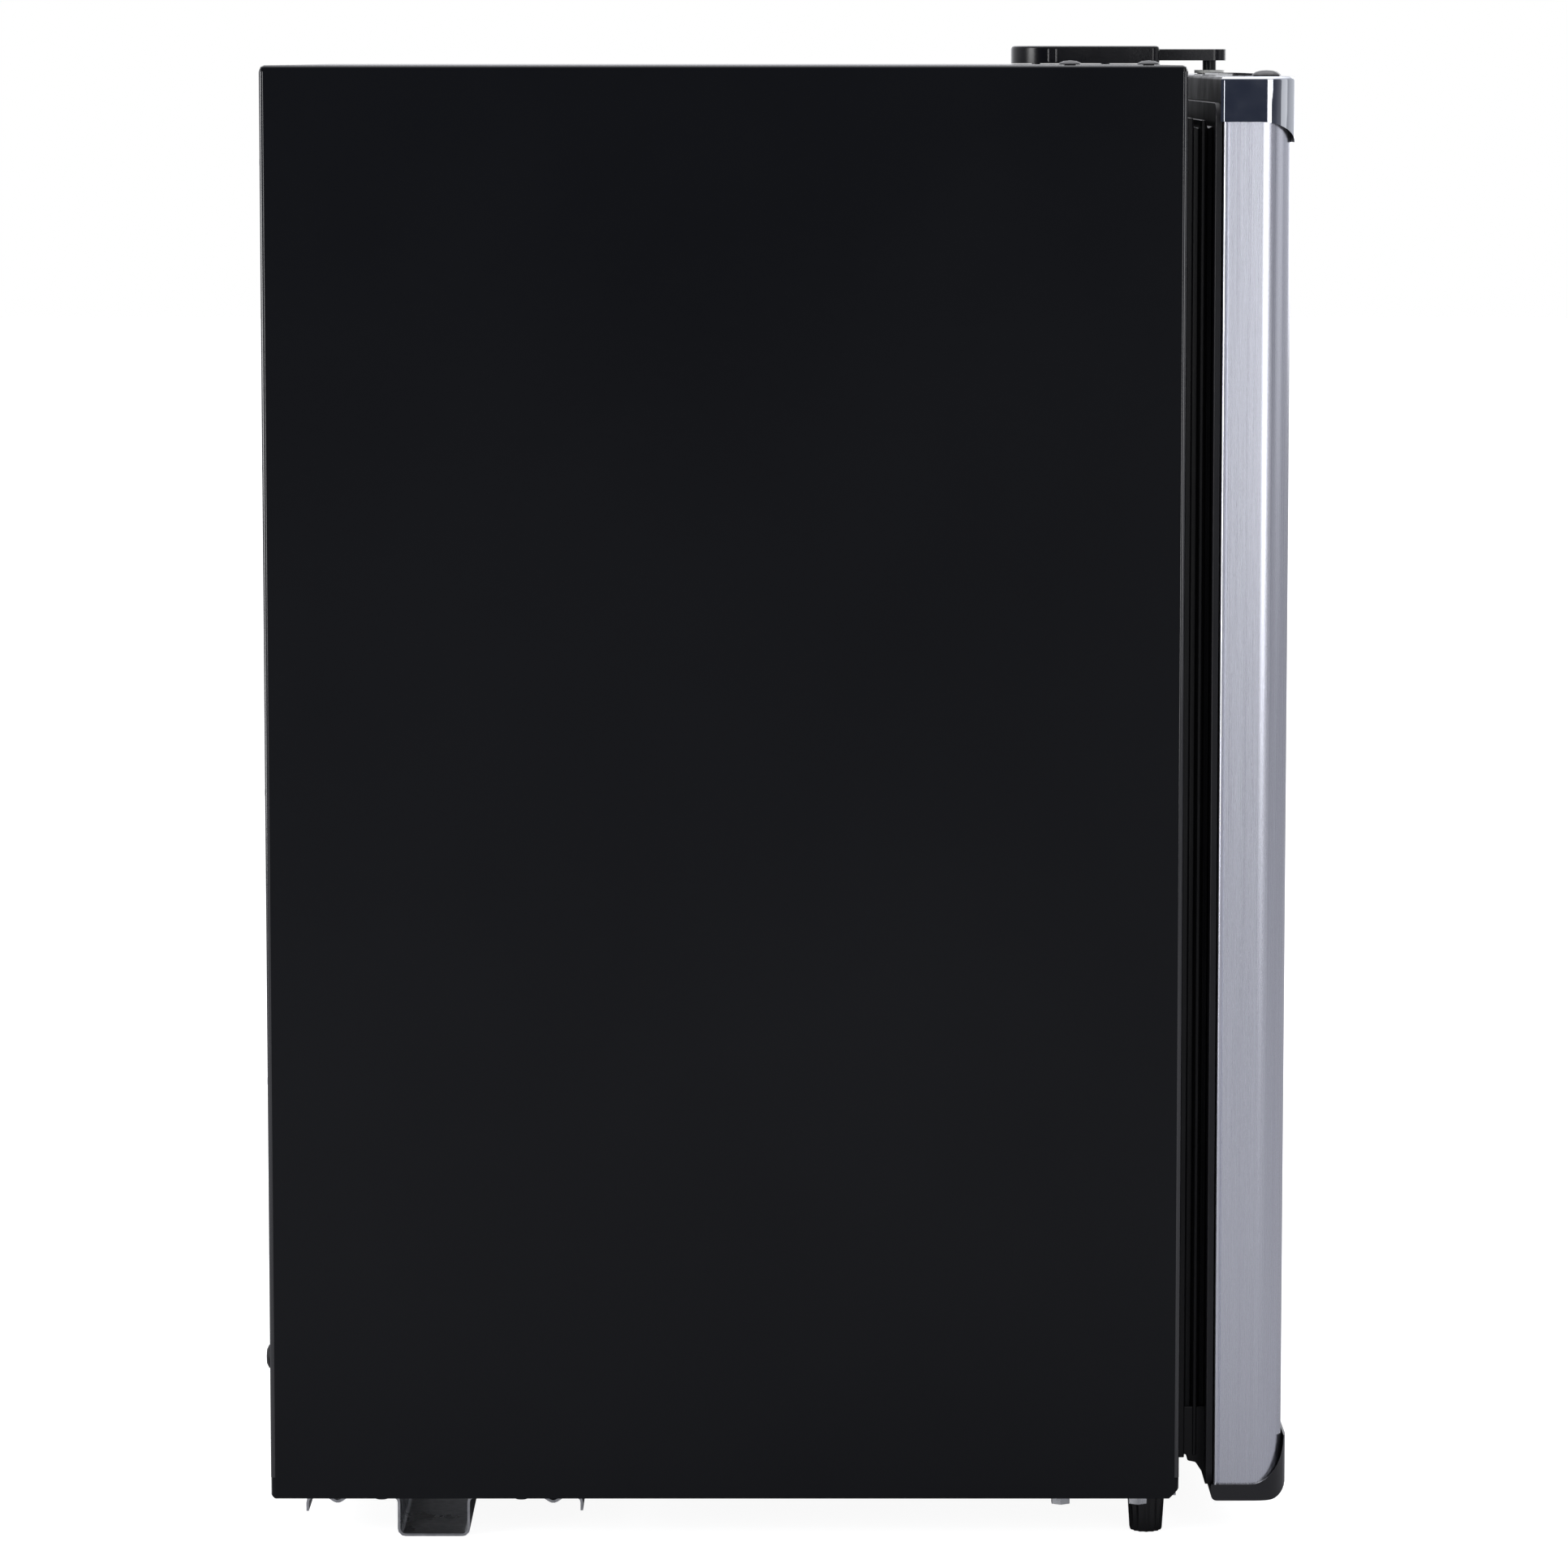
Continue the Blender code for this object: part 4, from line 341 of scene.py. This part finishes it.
for name in NODES:
    if name not in CUSTOM:
        skin(name, SKIN_WIDTHS.get(name, USUAL_WIDTH))


# ---------------------------------------------------------------- shapes

def combined(*shapes):
    """Several closed shapes as one list of corners and one of faces."""
    verts, faces = [], []
    for more_verts, more_faces in shapes:
        start = len(verts)
        verts += more_verts
        faces += [tuple(start + i for i in face) for face in more_faces]
    return verts, faces


def block(lo, hi):
    """A box from its lowest to its highest corner."""
    verts = [(x, y, z) for x in (lo[0], hi[0]) for y in (lo[1], hi[1]) for z in (lo[2], hi[2])]
    return verts, [(0, 1, 3, 2), (4, 6, 7, 5), (0, 4, 5, 1), (2, 3, 7, 6), (0, 2, 6, 4), (1, 5, 7, 3)]


def upright(outline, z0, z1):
    """A closed outline in XY, anticlockwise, raised from z0 to z1."""
    count = len(outline)
    verts = [(x, y, z) for z in (z0, z1) for x, y in outline]
    faces = [(i, (i + 1) % count, count + (i + 1) % count, count + i) for i in range(count)]
    return verts, faces + [tuple(range(count - 1, -1, -1)), tuple(range(count, 2 * count))]


def turned(profile, centre, toward, sides=24):
    """(radius, height) pairs turned about a line through centre; height grows along toward."""
    along = Vector(toward).normalized()
    across = along.orthogonal().normalized()
    third = along.cross(across)
    verts = []
    for radius, height in profile:
        for k in range(sides):
            turn = 2 * math.pi * k / sides
            out = across * math.cos(turn) + third * math.sin(turn)
            verts.append(tuple(Vector(centre) + along * height + out * radius))
    faces = []
    for row in range(len(profile) - 1):
        for k in range(sides):
            a, b = row * sides + k, row * sides + (k + 1) % sides
            faces.append((a, b, b + sides, a + sides))
    last = (len(profile) - 1) * sides
    return verts, faces + [tuple(range(sides - 1, -1, -1)), tuple(range(last, last + sides))]


def rod(points, radius, sides=8, closed=False):
    """A round bar along a line of points."""
    line = [Vector(p) for p in points]
    count = len(line)
    verts = []
    up = None
    for i, here in enumerate(line):
        before = line[i - 1] if i or closed else here
        after = line[(i + 1) % count] if i < count - 1 or closed else here
        along = (after - before).normalized()
        up = along.orthogonal() if up is None else up - along * up.dot(along)
        up.normalize()
        third = along.cross(up)
        for k in range(sides):
            turn = 2 * math.pi * k / sides
            verts.append(tuple(here + (up * math.cos(turn) + third * math.sin(turn)) * radius))
    faces = []
    for i in range(count if closed else count - 1):
        j = (i + 1) % count
        for k in range(sides):
            m = (k + 1) % sides
            faces.append((i * sides + k, i * sides + m, j * sides + m, j * sides + k))
    if not closed:
        last = (count - 1) * sides
        faces += [tuple(range(sides - 1, -1, -1)), tuple(range(last, last + sides))]
    return verts, faces


def corner(x, y, radius, start, end, steps):
    """Points of an arc about (x, y), angles in degrees."""
    turns = [math.radians(start + (end - start) * k / steps) for k in range(steps + 1)]
    return [(x + radius * math.cos(turn), y + radius * math.sin(turn)) for turn in turns]


def loop(a0, b0, a1, b1, radius, steps=5):
    """A rectangle with round corners, anticlockwise."""
    return (corner(a0 + radius, b0 + radius, radius, 180, 270, steps)
            + corner(a1 - radius, b0 + radius, radius, 270, 360, steps)
            + corner(a1 - radius, b1 - radius, radius, 0, 90, steps)
            + corner(a0 + radius, b1 - radius, radius, 90, 180, steps))


def bent(points, radius, steps=5):
    """The same line with its inner corners rounded."""
    line = [Vector(p) for p in points]
    made = [line[0]]
    for before, here, after in zip(line, line[1:], line[2:]):
        start = here + (before - here).normalized() * radius
        end = here + (after - here).normalized() * radius
        for k in range(steps + 1):
            t = k / steps
            made.append(start * (1 - t) ** 2 + here * 2 * t * (1 - t) + end * t ** 2)
    return made + [line[-1]]


def cross_head(centre, toward, radius, height):
    """A pan head screw with a cross recess."""
    along = Vector(toward).normalized()
    across = along.orthogonal().normalized()
    third = along.cross(across)
    arm, width, sides = radius * 0.56, radius * 0.13, 24
    cross = [(arm, -width), (arm, width), (width, width), (width, arm), (-width, arm), (-width, width),
             (-arm, width), (-arm, -width), (-width, -width), (-width, -arm), (width, -arm), (width, -width)]
    place = Vector(centre)
    made = bmesh.new()

    def ring(points, level):
        return [made.verts.new(place + across * a + third * b + along * level) for a, b in points]

    def circle(size):
        return [(size * math.cos(2 * math.pi * k / sides), size * math.sin(2 * math.pi * k / sides))
                for k in range(sides)]

    profile = [(radius, 0.0), (radius, height * 0.35), (radius * 0.93, height * 0.70),
               (radius * 0.72, height)]
    rings = [ring(circle(size), level) for size, level in profile]
    for low_ring, high_ring in zip(rings, rings[1:]):
        for k in range(sides):
            m = (k + 1) % sides
            made.faces.new((low_ring[k], low_ring[m], high_ring[m], high_ring[k]))
    top, floor = ring(cross, height), ring(cross, height * 0.25)
    edges = [made.edges.new((top[k], top[(k + 1) % 12])) for k in range(12)]
    edges += [made.edges.get((rings[-1][k], rings[-1][(k + 1) % sides])) for k in range(sides)]
    bmesh.ops.triangle_fill(made, use_beauty=True, edges=edges)
    for k in range(12):
        m = (k + 1) % 12
        made.faces.new((top[k], top[m], floor[m], floor[k]))
    made.faces.new(floor)
    bmesh.ops.recalc_face_normals(made, faces=made.faces)
    made.verts.index_update()
    data = ([tuple(v.co) for v in made.verts], [tuple(v.index for v in f.verts) for f in made.faces])
    made.free()
    return data


def extra(name, shape, body, slot, smooth_angle=LATHED, look=None):
    """A fine piece that no CAD node stands for."""
    return place_mesh(name, shape[0], shape[1], body, slot, smooth_angle, look)


# ---------------------------------------------------------------- door

def door_face():
    """The wrapped sheet with a rolled hem and a pressed line along each rear edge."""
    lo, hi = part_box("door_panel")
    half, front, rear = hi[0], lo[1], hi[1]
    sheet, lip, radius, roll = 0.001, 0.014, 0.014, 0.0012
    line_depth, chamfer, steps = 0.00035, 0.0006, 20
    outer_left = corner(-half + roll, rear - roll, roll, 90, 180, 5)
    outer_left += [(-half, rear - 0.0016), (-half + line_depth, rear - 0.0019),
                   (-half + line_depth, rear - 0.0022), (-half, rear - 0.0025)]
    outer_left += corner(-half + radius, front + radius, radius, 180, 270, steps)
    outer = ([(-half + lip, rear)] + outer_left + [(-x, y) for x, y in reversed(outer_left)]
             + [(half - lip, rear)])
    inner_left = [(-half + lip, rear - sheet), (-half + sheet + chamfer, rear - sheet),
                  (-half + sheet, rear - sheet - chamfer)]
    inner_left += corner(-half + radius, front + radius, radius - sheet, 180, 270, steps)
    inner = inner_left + [(-x, y) for x, y in reversed(inner_left)]
    verts, faces = upright(outer + inner[::-1], lo[2], hi[2])
    piece = place_mesh("door_panel_skin", verts, faces, BODY["door_panel"], SLOT["door_panel"], SHEET_CORNER)
    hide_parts("door_panel")
    soften(piece, 0.0)


def top_cap():
    """Plated outside, bare dark plastic behind and beneath, with round rear corners."""
    verts, faces = whole_faces("door_top_cap")
    lo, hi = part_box("door_top_cap")
    shape = bmesh.new()
    points = [shape.verts.new(v) for v in verts]
    for face in faces:
        shape.faces.new([points[i] for i in face])
    shape.normal_update()
    side_depth, top_depth, front_depth = 0.0012, 0.0024, 0.0150
    hidden = []
    for index, face in enumerate(shape.faces):
        middle = face.calc_center_median()
        outer = (abs(middle.x) > hi[0] - side_depth or middle.z > hi[2] - top_depth
                 or middle.y < lo[1] + front_depth)
        faces_back, faces_down = face.normal.y > 0.6, face.normal.z < -0.3
        if faces_back or faces_down or not outer:
            hidden.append(index)
    shape.free()
    plated_faces = [face for i, face in enumerate(faces) if i not in hidden]
    bare_faces = [faces[i] for i in hidden]
    body, slot = BODY["door_top_cap"], SLOT["door_top_cap"]
    front = place_mesh("door_top_cap_skin", verts, plated_faces, body, slot, LATHED)
    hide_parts("door_top_cap")
    soften(front, 0.0)
    back = place_mesh("door_top_cap_back", verts, bare_faces, body, slot, FACETED, "shade_plastic")
    soften(back, 0.0)
    inset, radius = 0.0013, 0.00135
    foot, top = lo[2] + 0.0096, hi[2] - 0.0018
    for side, name in ((-1, "cap_corner_left"), (1, "cap_corner_right")):
        x, y = side * (hi[0] - inset), hi[1] - inset
        extra(name, rod([(x, y, foot), (x, y, top)], radius, 16), body, slot, ROUND)


def lower_seal():
    """The lower run of the seal, which closes the gap under the door liner."""
    half_length, softened = 0.2062, 0.0006
    profile = [(-0.1884, 0.0600), (-0.1884, 0.0372), (-0.1918, 0.0372), (-0.1925, 0.0342), (-0.1962, 0.0335),
               (-0.1985, 0.0300), (-0.2010, 0.0262), (-0.2028, 0.0600)]
    count = len(profile)
    verts = [(x, y, z) for x in (-half_length, half_length) for y, z in profile]
    faces = [(i, (i + 1) % count, count + (i + 1) % count, count + i) for i in range(count)]
    faces += [tuple(range(count - 1, -1, -1)), tuple(range(count, 2 * count))]
    piece = place_mesh("seal_lower_run", verts, faces, BODY["door_gasket"], SLOT["door_gasket"], ROUND)
    soften(piece, softened)


def door_details():
    """Beads on the door liner, and the rolled rims and flutes of the bins."""
    body = BODY["door_liner"]
    bead_y, bead_half, bead_corner, bead_radius = -0.2001, 0.145, 0.008, 0.0012
    for name, low, high in (("liner_bead_low", 0.213, 0.240), ("liner_bead_high", 0.500, 0.615)):
        path = [(x, bead_y, z) for x, z in loop(-bead_half, low, bead_half, high, bead_corner)]
        extra(name, rod(path, bead_radius, closed=True), body, SLOT["door_liner"], ROUND)
    inset, turn_inset, turn_radius = 0.0011, 0.0091, 0.008
    rim_radius, flute_radius = 0.0017, 0.0007
    for node in ("lower_bin", "middle_bin", "upper_bin"):
        lo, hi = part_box(node)
        outline = [(lo[0] + inset, lo[1] + 0.006)]
        outline += corner(lo[0] + turn_inset, hi[1] - turn_inset, turn_radius, 180, 90, 6)
        outline += corner(hi[0] - turn_inset, hi[1] - turn_inset, turn_radius, 90, 0, 6)
        outline += [(hi[0] - inset, lo[1] + 0.006)]
        path = [(x, y, hi[2] - 0.0004) for x, y in outline]
        extra(node + "_rim", rod(path, rim_radius), BODY[node], SLOT[node], ROUND)
        lines = [rod([(x, hi[1], lo[2] + 0.020), (x, hi[1], hi[2] - 0.022)], flute_radius)
                 for x in (-0.060, -0.030, 0.0, 0.030, 0.060)]
        extra(node + "_flutes", combined(*lines), BODY[node], SLOT[node], ROUND)


door_face()
top_cap()
lower_seal()
door_details()


# ---------------------------------------------------------------- cabinet and inside

def back_details():
    """Pressed frames on the back panel and the screws round its border."""
    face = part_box("back_panel")[1][1]
    frame_half, frame_corner, frame_radius = 0.170, 0.030, 0.0022
    frames = []
    for low, high in ((0.215, 0.330), (0.360, 0.475), (0.505, 0.620)):
        outline = loop(-frame_half, low, frame_half, high, frame_corner, 8)
        frames.append(rod([(x, face, z) for x, z in outline], frame_radius, closed=True))
    extra("back_ribs", combined(*frames), BODY["back_panel"], SLOT["back_panel"], ROUND)
    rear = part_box("cabinet_shell")[1][1]
    spots = [(side * 0.2115, z) for side in (-1, 1) for z in (0.215, 0.350, 0.500, 0.640)]
    spots += [(x, 0.674) for x in (-0.140, 0.0, 0.140)]
    head_radius, head_height = 0.0032, 0.0008
    heads = [cross_head((x, rear, z), (0, 1, 0), head_radius, head_height) for x, z in spots]
    extra("back_screws", combined(*heads), BODY["cabinet_shell"], "zinc_steel")


def bay_details():
    """The compressor's weld, its crimped process tube and an earth screw on the base plate."""
    lo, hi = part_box("compressor_upper_shell")
    middle_x, middle_y, seam = (lo[0] + hi[0]) / 2, (lo[1] + hi[1]) / 2, lo[2]
    body = BODY["compressor_lower_shell"]
    long_half, short_half = (hi[0] - lo[0]) / 2 + 0.0026, (hi[1] - lo[1]) / 2 + 0.0019
    weld_radius, weld_points = 0.0016, 48
    ring = []
    for k in range(weld_points):
        turn = 2 * math.pi * k / weld_points
        ring.append((middle_x + long_half * math.cos(turn), middle_y + short_half * math.sin(turn), seam))
    extra("compressor_weld", rod(ring, weld_radius, closed=True), body, SLOT["compressor_lower_shell"],
          ROUND)
    tube_radius, bend_radius = 0.0026, 0.008
    stub = bent([(middle_x - 0.052, middle_y + 0.030, 0.084), (middle_x - 0.066, middle_y + 0.040, 0.090),
                 (middle_x - 0.070, middle_y + 0.042, 0.128)], bend_radius)
    crimp = block((middle_x - 0.0732, middle_y + 0.0412, 0.124),
                  (middle_x - 0.0668, middle_y + 0.0428, 0.136))
    extra("process_tube", combined(rod(stub, tube_radius, 12), crimp), body, "copper", 50.0)
    earth = cross_head((0.096, 0.128, 0.0197), (0, 0, 1), 0.0038, 0.0018)
    extra("earth_screw", earth, BODY["compressor_base_plate"], "zinc_steel")


def freezer_details():
    """Evaporator channels on the freezer's floor and its -X wall, and beads on its flap."""
    lo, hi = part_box("freezer_box")
    body = BODY["freezer_box"]
    floor, wall = lo[2] + 0.002, lo[0] + 0.002
    ends = (lo[0] + 0.022, hi[0] - 0.022)
    path = []
    for k, y in enumerate((-0.060, -0.030, 0.0, 0.030, 0.060, 0.090, 0.120, 0.150)):
        path += [(ends[k % 2], y, floor), (ends[1 - k % 2], y, floor)]
    channel = rod(bent(path, 0.011), 0.0022, 10)
    ends = (-0.062, 0.158)
    side = []
    for k, z in enumerate((0.556, 0.576, 0.596, 0.616)):
        side += [(wall, ends[k % 2], z), (wall, ends[1 - k % 2], z)]
    extra("evaporator_channels", combined(channel, rod(bent(side, 0.008), 0.0018, 10)), body,
          SLOT["freezer_box"], ROUND)
    lo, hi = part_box("freezer_flap")
    face = hi[1] - 0.0040
    outline = loop(lo[0] + 0.012, lo[2] + 0.014, hi[0] - 0.012, hi[2] - 0.012, 0.008)
    border = rod([(x, face, z) for x, z in outline], 0.0013, closed=True)
    ribs = [rod([(lo[0] + 0.030, face, z), (hi[0] - 0.030, face, z)], 0.0009)
            for z in (0.570, 0.579, 0.588)]
    extra("flap_beads", combined(border, *ribs), BODY["freezer_flap"], SLOT["freezer_flap"], ROUND)


def control_details():
    """Marks round the thermostat's dial, every fourth one longer, and grips round its knob."""
    lo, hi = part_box("thermostat_knob")
    middle_x, middle_z = (lo[0] + hi[0]) / 2, (lo[2] + hi[2]) / 2
    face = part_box("thermostat_housing")[0][1]
    ticks = []
    for k in range(9):
        turn = math.radians(-30 + 30 * k)
        inner, outer = 0.0215, 0.0250 if k % 4 else 0.0270
        ticks.append(rod([(middle_x + r * math.cos(turn), face, middle_z + r * math.sin(turn))
                          for r in (inner, outer)], 0.0005, 6))
    extra("dial_marks", combined(*ticks), BODY["thermostat_housing"], "matte_black_plastic")
    grip_count, grip_ring, grip_radius = 28, 0.0187, 0.0008
    grips = []
    for k in range(grip_count):
        turn = 2 * math.pi * k / grip_count
        x, z = middle_x + grip_ring * math.cos(turn), middle_z + grip_ring * math.sin(turn)
        grips.append(rod([(x, face - 0.0120, z), (x, face - 0.0010, z)], grip_radius, 6))
    extra("knob_grips", combined(*grips), BODY["thermostat_knob"], SLOT["thermostat_knob"], ROUND)


def inside_details():
    """Flutes, screw caps and a drain trough on the liner's rear wall."""
    body, slot = BODY["inner_liner"], SLOT["inner_liner"]
    rear, flute_radius = 0.188, 0.0022
    flutes = [rod([(x, rear + 0.0002, 0.245), (x, rear + 0.0002, 0.500)], flute_radius) for x in
              (-0.120, -0.080, -0.040, 0.0, 0.040, 0.080, 0.120)]
    extra("rear_wall_flutes", combined(*flutes), body, slot, ROUND)
    profile = [(0.0065, -0.001), (0.0065, 0.0006), (0.0052, 0.0018), (0.0028, 0.0024), (0.0004, 0.0026)]
    caps = [turned(profile, (x, rear, z), (0, -1, 0)) for x in (-0.165, 0.165) for z in (0.250, 0.490)]
    extra("liner_screw_caps", combined(*caps), body, slot, LATHED)
    trough = [(0.0105, -0.001), (0.0105, 0.0012), (0.0092, 0.0018), (0.0078, 0.0012), (0.0070, -0.0006),
              (0.0004, -0.0008)]
    extra("drain_trough", turned(trough, (0.0, rear, 0.226), (0, -1, 0)), body, slot, LATHED)


def cabinet_edges():
    """A glossier strip along each upright edge of the side sheets, to catch the light in a thin line."""
    lo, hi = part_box("cabinet_shell")
    inset, radius = 0.00135, 0.00142
    lines = []
    for side in (-1, 1):
        for y in (lo[1] + inset, hi[1] - inset):
            x = side * (hi[0] - inset)
            lines.append(rod([(x, y, lo[2] + 0.010), (x, y, hi[2] - 0.0028)], radius, 12))
    extra("shiny_upright_edges", combined(*lines), BODY["cabinet_shell"], SLOT["cabinet_shell"], ROUND,
          "edge_paint")


def hinge_cover_details():
    """Two thin upright lines on the hinge cover's -X side."""
    lo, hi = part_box("top_hinge_cover")
    lines = [rod([(lo[0], y, lo[2] + 0.0008), (lo[0], y, hi[2] - 0.0016)], 0.0006, 10)
             for y in (-0.1400, -0.1440)]
    extra("hinge_cover_lines", combined(*lines), BODY["top_hinge_cover"], SLOT["top_hinge_cover"], ROUND,
          "edge_paint")


cabinet_edges()
back_details()
bay_details()
freezer_details()
control_details()
inside_details()
hinge_cover_details()


# ---------------------------------------------------------------- studio

def make_floor():
    """A plain floor, far wider than the view: near white to the camera, a darker grey to other rays."""
    reach = 14.0
    mesh = bpy.data.meshes.new("floor")
    mesh.from_pydata([(-reach, -reach, 0), (reach, -reach, 0), (reach, reach, 0), (-reach, reach, 0)], [],
                     [(0, 1, 2, 3)])
    floor = bpy.data.objects.new("floor", mesh)
    bpy.context.scene.collection.objects.link(floor)
    made = finish("pale_floor", (0.34, 0.34, 0.34), 0.85, Specular_IOR_Level=0.1, Emission_Strength=0.93,
                  Emission_Color=(1.0, 1.0, 1.0, 1.0))
    feed(made, "Base Color", blended(made, spread(made, noise(made, 0.6), 0.0, 1.0), (0.34, 0.34, 0.34),
                                     (0.38, 0.38, 0.38)))
    nodes, links = made.node_tree.nodes, made.node_tree.links
    bounce = nodes.new("ShaderNodeBsdfDiffuse")
    bounce.inputs["Color"].default_value = (0.30, 0.30, 0.31, 1.0)
    path = nodes.new("ShaderNodeLightPath")
    choose = nodes.new("ShaderNodeMixShader")
    links.new(path.outputs["Is Camera Ray"], choose.inputs["Fac"])
    links.new(bounce.outputs["BSDF"], choose.inputs[1])
    links.new(nodes["Principled BSDF"].outputs["BSDF"], choose.inputs[2])
    links.new(choose.outputs["Shader"], nodes["Material Output"].inputs["Surface"])
    mesh.materials.append(made)


def make_world():
    """White to the camera; as a light it is dark towards -X, and brighter towards +X and above."""
    world = bpy.data.worlds.new("studio")
    bpy.context.scene.world = world
    world.use_nodes = True
    nodes, links = world.node_tree.nodes, world.node_tree.links
    nodes.clear()
    out = nodes.new("ShaderNodeOutputWorld")
    place = nodes.new("ShaderNodeTexCoord")
    parts = nodes.new("ShaderNodeSeparateXYZ")
    links.new(place.outputs["Generated"], parts.inputs["Vector"])
    side = nodes.new("ShaderNodeMapRange")
    side.inputs["From Min"].default_value = -1.0
    side.inputs["From Max"].default_value = 1.0
    links.new(parts.outputs["X"], side.inputs["Value"])
    ramp = nodes.new("ShaderNodeValToRGB")
    stops = ramp.color_ramp.elements
    stops[0].position, stops[0].color = 0.03, (0.030, 0.036, 0.056, 1.0)
    stops[1].position, stops[1].color = 1.0, (0.90, 0.91, 0.95, 1.0)
    middle = stops.new(0.16)
    middle.color = (0.10, 0.105, 0.13, 1.0)
    later = stops.new(0.5)
    later.color = (0.42, 0.43, 0.46, 1.0)
    links.new(side.outputs["Result"], ramp.inputs["Fac"])
    above = nodes.new("ShaderNodeMapRange")
    above.inputs["From Min"].default_value = 0.45
    above.inputs["From Max"].default_value = 0.90
    above.inputs["To Max"].default_value = 1.0
    links.new(parts.outputs["Z"], above.inputs["Value"])
    add = nodes.new("ShaderNodeMix")
    add.data_type = "RGBA"
    add.blend_type = "ADD"
    colours = [s for s in add.inputs if s.type == "RGBA"]
    links.new(above.outputs["Result"], add.inputs[0])
    links.new(ramp.outputs["Color"], colours[0])
    colours[1].default_value = (1.2, 1.2, 1.23, 1.0)
    light = nodes.new("ShaderNodeBackground")
    links.new([s for s in add.outputs if s.type == "RGBA"][0], light.inputs["Color"])
    seen = nodes.new("ShaderNodeBackground")
    seen.inputs["Color"].default_value = (1.0, 1.0, 1.0, 1.0)
    path = nodes.new("ShaderNodeLightPath")
    choose = nodes.new("ShaderNodeMixShader")
    links.new(path.outputs["Is Camera Ray"], choose.inputs["Fac"])
    links.new(light.outputs["Background"], choose.inputs[1])
    links.new(seen.outputs["Background"], choose.inputs[2])
    links.new(choose.outputs["Shader"], out.inputs["Surface"])


def soft_light(name, place, aim, width, height, power):
    """A white rectangular soft box, hidden from the camera."""
    data = bpy.data.lights.new(name, "AREA")
    data.shape = "RECTANGLE"
    data.size, data.size_y = width, height
    data.energy = power
    lamp = bpy.data.objects.new(name, data)
    lamp.location = place
    lamp.rotation_euler = (Vector(aim) - Vector(place)).to_track_quat("-Z", "Y").to_euler()
    lamp.visible_camera = False
    bpy.context.scene.collection.objects.link(lamp)


def around(angle, distance, height):
    """A place at that angle from -X towards -Y, in degrees, about the object's corner at low X and Y."""
    turn = math.radians(angle)
    return (CAD_LOW.x - distance * math.cos(turn), CAD_LOW.y - distance * math.sin(turn), height)


def make_studio():
    """Floor, world and six soft boxes."""
    make_floor()
    make_world()
    middle = (0.0, 0.0, 0.36)
    soft_light("strip_front", around(18.0, 2.4, 1.0), (0.0, -0.2, 0.4), 0.74, 1.7, 13.0)
    soft_light("strip_rear", around(-62.0, 2.4, 0.9), (0.0, 0.0, 0.4), 0.90, 1.7, 30.0)
    soft_light("wide_front", around(75.0, 2.4, 1.1), middle, 1.2, 1.6, 2.8)
    soft_light("wide_rear", around(-70.0, 2.4, 1.1), middle, 0.9, 1.6, 6.0)
    soft_light("overhead", (0.1, 0.0, 2.6), (0.0, 0.0, 0.0), 2.2, 2.2, 12.0)
    soft_light("behind", around(150.0, 2.6, 1.2), middle, 1.4, 1.6, 10.0)


def make_camera():
    """A little under the top's height on the -X side, looking along +X and slightly down."""
    distance = 3.0
    height = 0.689
    centre_y = -0.0035
    centre_z = 0.3551
    frame_width = 0.7219
    near_x = CAD_LOW.x
    data = bpy.data.cameras.new("camera")
    place = Vector((near_x - distance, centre_y, height))
    aim = Vector((near_x, centre_y, centre_z))
    data.sensor_width = 36.0
    data.lens = data.sensor_width * (aim - place).length / frame_width
    data.clip_start, data.clip_end = 0.05, 60.0
    camera = bpy.data.objects.new("camera", data)
    camera.location = place
    camera.rotation_euler = (aim - place).to_track_quat("-Z", "Y").to_euler()
    bpy.context.scene.collection.objects.link(camera)
    bpy.context.scene.camera = camera
    bpy.context.scene.view_settings.view_transform = "Standard"


make_studio()
make_camera()
